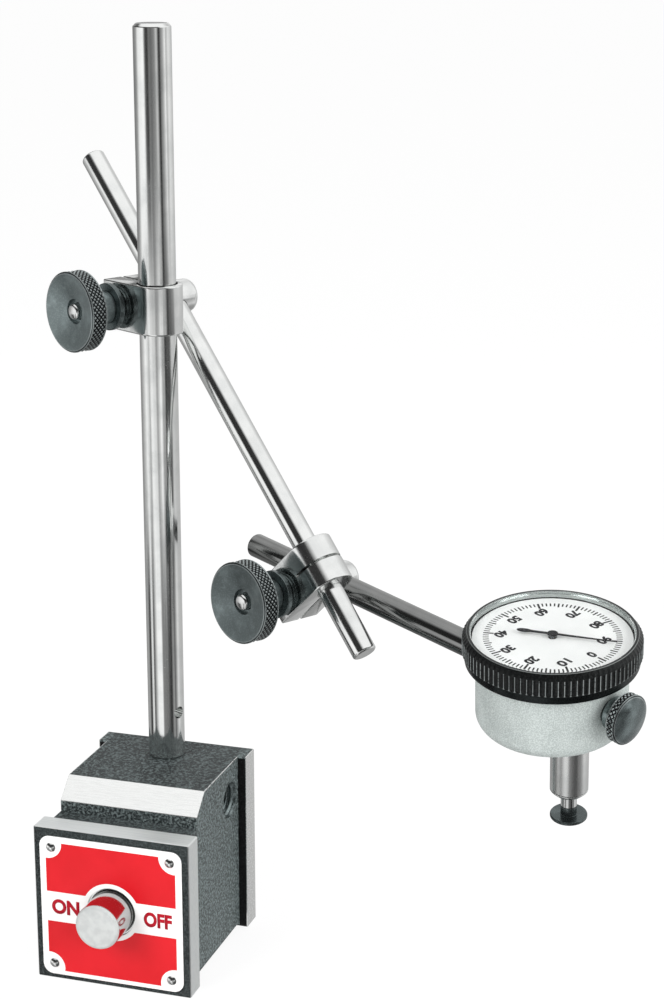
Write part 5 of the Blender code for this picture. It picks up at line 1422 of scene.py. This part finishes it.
class MakeStem(bpy.types.Operator):
    """Stem, end bush, spindle and contact"""

    bl_idname = "indicator_stand.stem"
    bl_label = "Stem and spindle"
    bl_options = {"REGISTER", "UNDO"}

    def execute(self, context):
        shoulder, foot = CASE_BOTTOM - 0.0001, STEM_FOOT + 0.0014
        neck_top, stop = CASE_BOTTOM + 0.0034, CASE_BOTTOM - 0.0012
        guide, neck, bore = SPINDLE_RADIUS + CLEARANCE, STEM_NECK_RADIUS, 0.0029
        outline = [(guide, neck_top), (neck, neck_top), (neck, shoulder), (STEM_RADIUS, shoulder)]
        outline += [(STEM_RADIUS, foot), (bore, foot), (bore, stop), (guide, stop)]
        mesh = lathe("stem", outline, STEM, ease=0.00015)
        steel = polished_steel("stem_steel", STEM, 0.26)
        piece(mesh, "stem", "indicator", steel, ["indicator_stem"])
        top, spigot, chamfer = STEM_FOOT + 0.0013, 0.0028, 0.0010
        outline = [(guide, STEM_FOOT), (STEM_RADIUS - chamfer, STEM_FOOT), (STEM_RADIUS, STEM_FOOT + chamfer)]
        outline += [(STEM_RADIUS, top), (spigot, top), (spigot, top + 0.0020), (guide, top + 0.0020)]
        mesh = lathe("end_bush", outline, STEM, ease=0.0002)
        steel = turned_steel("end_ring_steel", STEM)
        piece(mesh, "end_ring", "indicator", steel, ["stem_end_bush"])
        self.spindle(top + 0.0021)
        self.spring()
        return {"FINISHED"}

    def spring(self):
        """The return spring: a copy of its CAD mesh, with a mesh of its own, riding on the indicator."""
        mesh = frame["nodes"]["spindle_spring"].data.copy()
        steel = hidden_steel("spring_steel", (0.62, 0.63, 0.64), (0.45, 0.46, 0.47), 1.0, 0.15)
        item = piece(mesh, "return_spring", "indicator", steel, ["spindle_spring"])
        anchor = STEM.points((0, 0, SPRING_TOP))
        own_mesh(item)

    def spindle(self, collar):
        """A rod with a collar under the spring and a blind hole for the contact's screw."""
        foot, radius = CONTACT_FACE + 0.0033, SPINDLE_RADIUS
        hole, collar_top = foot + 0.0032, collar + COLLAR_LENGTH
        outline = [(0, hole), (0.0010, hole), (0.0010, foot), (radius, foot), (radius, collar)]
        outline += [(COLLAR_RADIUS, collar), (COLLAR_RADIUS, collar_top), (radius, collar_top)]
        outline += [(radius, SPINDLE_TOP), (0.0003, -0.0005), (0, -0.0005)]
        mesh = lathe("spindle", outline, STEM, 64, ease=0.0001)
        steel = polished_steel("plunger_steel", STEM)
        piece(mesh, "plunger", "spindle", steel, ["spindle"])
        self.contact()

    def contact(self):
        """A thin disc with a broken edge, a neck as wide as the spindle and a screw above it."""
        face, back, edge, rim = CONTACT_FACE, CONTACT_FACE + CONTACT_THICKNESS, 0.0002, CONTACT_RADIUS
        neck, end, screw = back + CONTACT_NECK, back + 0.0053, CONTACT_SCREW_RADIUS
        outline = [(0, face), (rim - edge, face), (rim, face + edge), (rim, back - edge), (rim - edge, back)]
        outline += [(SPINDLE_RADIUS, back), (SPINDLE_RADIUS, neck), (screw, neck), (screw, end), (0, end)]
        mesh = lathe("contact", outline, STEM, 72, ease=0.0001)
        steel = blued_steel("contact_steel", STEM, 0.16, shade=0.6)
        piece(mesh, "contact_disc", "spindle", steel, ["contact_button"])


class FinishWorks(bpy.types.Operator):
    """Finishes of the pieces inside, which keep their CAD shape"""

    bl_idname = "indicator_stand.works"
    bl_label = "Inner works"
    bl_options = {"REGISTER", "UNDO"}

    def execute(self, context):
        brass = brass_finish("movement_brass")
        steel = hidden_steel("arbor_steel", (0.62, 0.63, 0.64), (0.45, 0.46, 0.47), 1.0, 0.15)
        black = hidden_steel("screw_black_oxide", (0.03, 0.034, 0.035), (0.07, 0.075, 0.08), 0.8, 0.3)
        magnet = hidden_steel("magnet_ceramic", (0.10, 0.10, 0.11), (0.15, 0.15, 0.16), 0.2, 0.5)
        keeper = hidden_steel("keeper_steel", (0.72, 0.72, 0.71), (0.60, 0.60, 0.60), 1.0, 0.3)
        finishes = {
            brass: [
                "rear_guide_bush", "stem_nut", "movement_plate_lower", "movement_plate_upper",
                "movement_pillar_1", "movement_pillar_2", "movement_pillar_3", "intermediate_wheel",
                "sector_gear", "bell_crank",
            ],
            steel: ["centre_arbor", "bell_crank_pin"],
            black: ["plate_screw_1", "plate_screw_2", "plate_screw_3", "plate_screw_4", "magnet_nut"],
            magnet: ["magnet_ring_front", "magnet_ring_rear"],
            keeper: ["magnet_keeper"],
        }
        for finish, nodes in finishes.items():
            for node in nodes:
                frame["nodes"][node].data.materials.clear()
                frame["nodes"][node].data.materials.append(finish)
        return {"FINISHED"}


class MakeStage(bpy.types.Operator):
    """Floor, even sky with a studio for reflections, lamps and camera"""

    bl_idname = "indicator_stand.stage"
    bl_label = "Stage"
    bl_options = {"REGISTER", "UNDO"}

    def execute(self, context):
        chosen = context.scene.indicator_stand
        self.floor(chosen)
        self.sky(chosen)
        self.lamp("main_lamp", (-0.45, -0.85, 0.62), chosen.lamp_power)
        self.lamp("side_lamp", (0.85, -0.35, 0.38), chosen.lamp_power * 0.85)
        self.camera(chosen)
        bpy.context.scene.view_settings.view_transform = "Standard"
        return {"FINISHED"}

    def floor(self, chosen):
        """White to the camera, but for a share of its plain shaded self, which keeps the object's shadow."""
        mesh = bpy.data.meshes.new("floor")
        reach = FLOOR_REACH
        corners = [(-reach, -reach, 0), (reach, -reach, 0), (reach, reach, 0), (-reach, reach, 0)]
        mesh.from_pydata(corners, [], [(0, 1, 2, 3)])
        item = bpy.data.objects.new("floor", mesh)
        bpy.context.scene.collection.objects.link(item)
        item.location.z = -0.00005
        item.visible_glossy = False
        paint = Paint("floor_paper")
        paint.set(Base_Color=chosen.floor_colour, Roughness=0.9, Specular_IOR_Level=0.0)
        seen = paint.node("ShaderNodeLightPath", output="Is Camera Ray")
        plain = paint.node("ShaderNodeEmission", None, {"Color": (1, 1, 1), "Strength": 1.09})
        mixed = paint.node("ShaderNodeMixShader", None, {0: seen * 0.8, 2: plain})
        output = next(node for node in paint.tree.nodes if node.type == "OUTPUT_MATERIAL")
        paint.tree.links.new(paint.shader.outputs[0], mixed.socket.node.inputs[1])
        paint.tree.links.new(mixed.socket, output.inputs["Surface"])
        mesh.materials.append(paint.owner)

    def sky(self, chosen):
        """Even for plain light and white to the camera. For reflections its level depends on the bearing from
        the camera's side, in four bands by height: bright panels with dark gaps beside them, which turn to
        white overhead and grow dimmer straight below."""
        world = bpy.data.worlds.new("studio")
        bpy.context.scene.world = world
        paint = Paint("studio", world)
        x, y, z = paint.split(paint.node("ShaderNodeTexCoord", output="Generated"))
        across = x * math.cos(PANEL_BEARING) + y * math.sin(PANEL_BEARING)
        toward = x * math.sin(PANEL_BEARING) - y * math.cos(PANEL_BEARING)
        turn = across.maths("ARCTAN2", toward) / FULL_TURN + 0.5
        high = self.panels(paint, turn, [
            (-180, 0.30), (-137, 0.22), (-111, 0.36), (-92, 0.95), (-54, 1.10), (-46, 0.35), (-40, 0.08),
            (-28, 0.03), (-16, 0.20), (-8, 0.13), (14, 0.26), (27, 0.62), (33, 0.35), (39, 0.05), (46, 0.03),
            (54, 0.26), (67, 0.45), (82, 1.00), (90, 0.50), (110, 0.85), (154, 0.55), (180, 0.50),
        ])
        middle = self.panels(paint, turn, [
            (-180, 0.28), (-130, 0.32), (-105, 0.65), (-86, 1.00), (-70, 0.80), (-58, 0.40), (-50, 1.05),
            (-25, 0.78), (-18, 0.75), (-13, 0.35), (-2, 0.58), (8, 1.00), (19, 1.05), (24, 0.38), (37, 0.52),
            (42, 0.04), (80, 0.08), (88, 0.65), (121, 0.55), (180, 0.50),
        ])
        low = self.panels(paint, turn, [
            (-180, 0.28), (-120, 0.38), (-103, 0.06), (-94, 0.02), (-85, 0.70), (-77, 0.95), (-70, 0.06),
            (-62, 0.20), (-41, 1.00), (-15, 1.05), (-9, 0.26), (3, 0.20), (22, 0.16), (35, 0.05), (41, 0.02),
            (48, 0.06), (55, 0.32), (62, 0.30), (69, 0.12), (85, 0.50), (94, 0.78), (114, 0.55), (142, 0.50),
            (180, 0.55),
        ])
        sky = self.panels(paint, turn, [
            (-180, 0.90), (-160, 0.40), (-138, 0.15), (-125, 0.05), (-95, 0.06), (-60, 0.03), (40, 0.03),
            (52, 0.50), (60, 1.00), (115, 1.00), (130, 0.80), (150, 0.60), (180, 0.90),
        ])
        upper = z.rise(-0.20, -0.12)
        lower = 1 - z.rise(-0.30, -0.26)
        above = z.rise(0.06, 0.18)
        panels = middle * (1 - upper) * (1 - lower) + high * upper * (1 - above) + low * lower + sky * above
        overhead = z.rise(0.62, 0.82)
        underfoot = 1 - z.rise(-0.75, -0.55)
        mirrored = (panels * (1 - overhead) + overhead) * (1 - underfoot * 0.4)
        rays = "ShaderNodeLightPath"
        glossy = paint.node(rays, output="Is Glossy Ray")
        seen = paint.node(rays, output="Is Camera Ray").most(paint.node(rays, output="Is Transmission Ray"))
        level = seen + (1 - seen) * (glossy * mirrored + (1 - glossy) * chosen.sky_level)
        background = next(node for node in paint.tree.nodes if node.type == "BACKGROUND")
        background.inputs["Color"].default_value = (1, 1, 1, 1)
        paint.feed(background.inputs["Strength"], level)

    def panels(self, paint, turn, levels):
        """Light levels by bearing in degrees."""
        stops = [(angle / 360 + 0.5, level) for angle, level in levels]
        return paint.node("ShaderNodeValToRGB", {"stops": stops}, {"Fac": turn})

    def lamp(self, name, place, power):
        light = bpy.data.lights.new(name, "AREA")
        light.energy = power
        light.size = LAMP_SIZE
        item = bpy.data.objects.new(name, light)
        bpy.context.scene.collection.objects.link(item)
        item.location = place
        item.rotation_euler = (Vector(LAMP_AIM) - Vector(place)).to_track_quat("-Z", "Y").to_euler()
        item.visible_glossy = False

    def camera(self, chosen):
        lens = bpy.data.cameras.new("camera")
        lens.lens = chosen.lens
        lens.sensor_width = 36
        lens.clip_start = 0.01
        item = bpy.data.objects.new("camera", lens)
        bpy.context.scene.collection.objects.link(item)
        item.location = CAMERA_PLACE
        item.rotation_euler = (CAMERA_TILT, 0, CAMERA_TURN)
        bpy.context.scene.camera = item


MAKERS = (
    MakeBase, MakeLabel, MakeButton, MakePost, MakeRods, MakeClamps, MakeKnobs, MakeCase, MakeClampNut,
    MakeBezel, MakeDial, MakeHand, MakeStem, FinishWorks, MakeStage,
)


class IndicatorStandPanel(bpy.types.Panel):
    """The stand's pieces and settings."""

    bl_idname = "VIEW3D_PT_indicator_stand"
    bl_label = "Indicator Stand"
    bl_space_type = "VIEW_3D"
    bl_region_type = "UI"
    bl_category = "Indicator Stand"

    def draw(self, context):
        chosen = context.scene.indicator_stand
        for key in chosen.bl_rna.properties.keys():
            if key not in ("name", "rna_type"):
                self.layout.prop(chosen, key)
        for maker in MAKERS:
            self.layout.operator(maker.bl_idname)


def register():
    bpy.utils.register_class(IndicatorStandSettings)
    bpy.types.Scene.indicator_stand = bpy.props.PointerProperty(type=IndicatorStandSettings)
    for maker in (*MAKERS, IndicatorStandPanel):
        bpy.utils.register_class(maker)


def unregister():
    for maker in reversed((*MAKERS, IndicatorStandPanel)):
        bpy.utils.unregister_class(maker)
    del bpy.types.Scene.indicator_stand
    bpy.utils.unregister_class(IndicatorStandSettings)


def main():
    """Every piece and the studio."""
    register()
    making = bpy.ops.indicator_stand
    making.base()
    making.label()
    making.button()
    making.post()
    making.rods()
    making.clamps()
    making.knobs()
    making.case()
    making.clamp_nut()
    making.bezel()
    making.dial()
    making.hand()
    making.stem()
    making.works()
    making.stage()


if __name__ == "__main__":
    main()
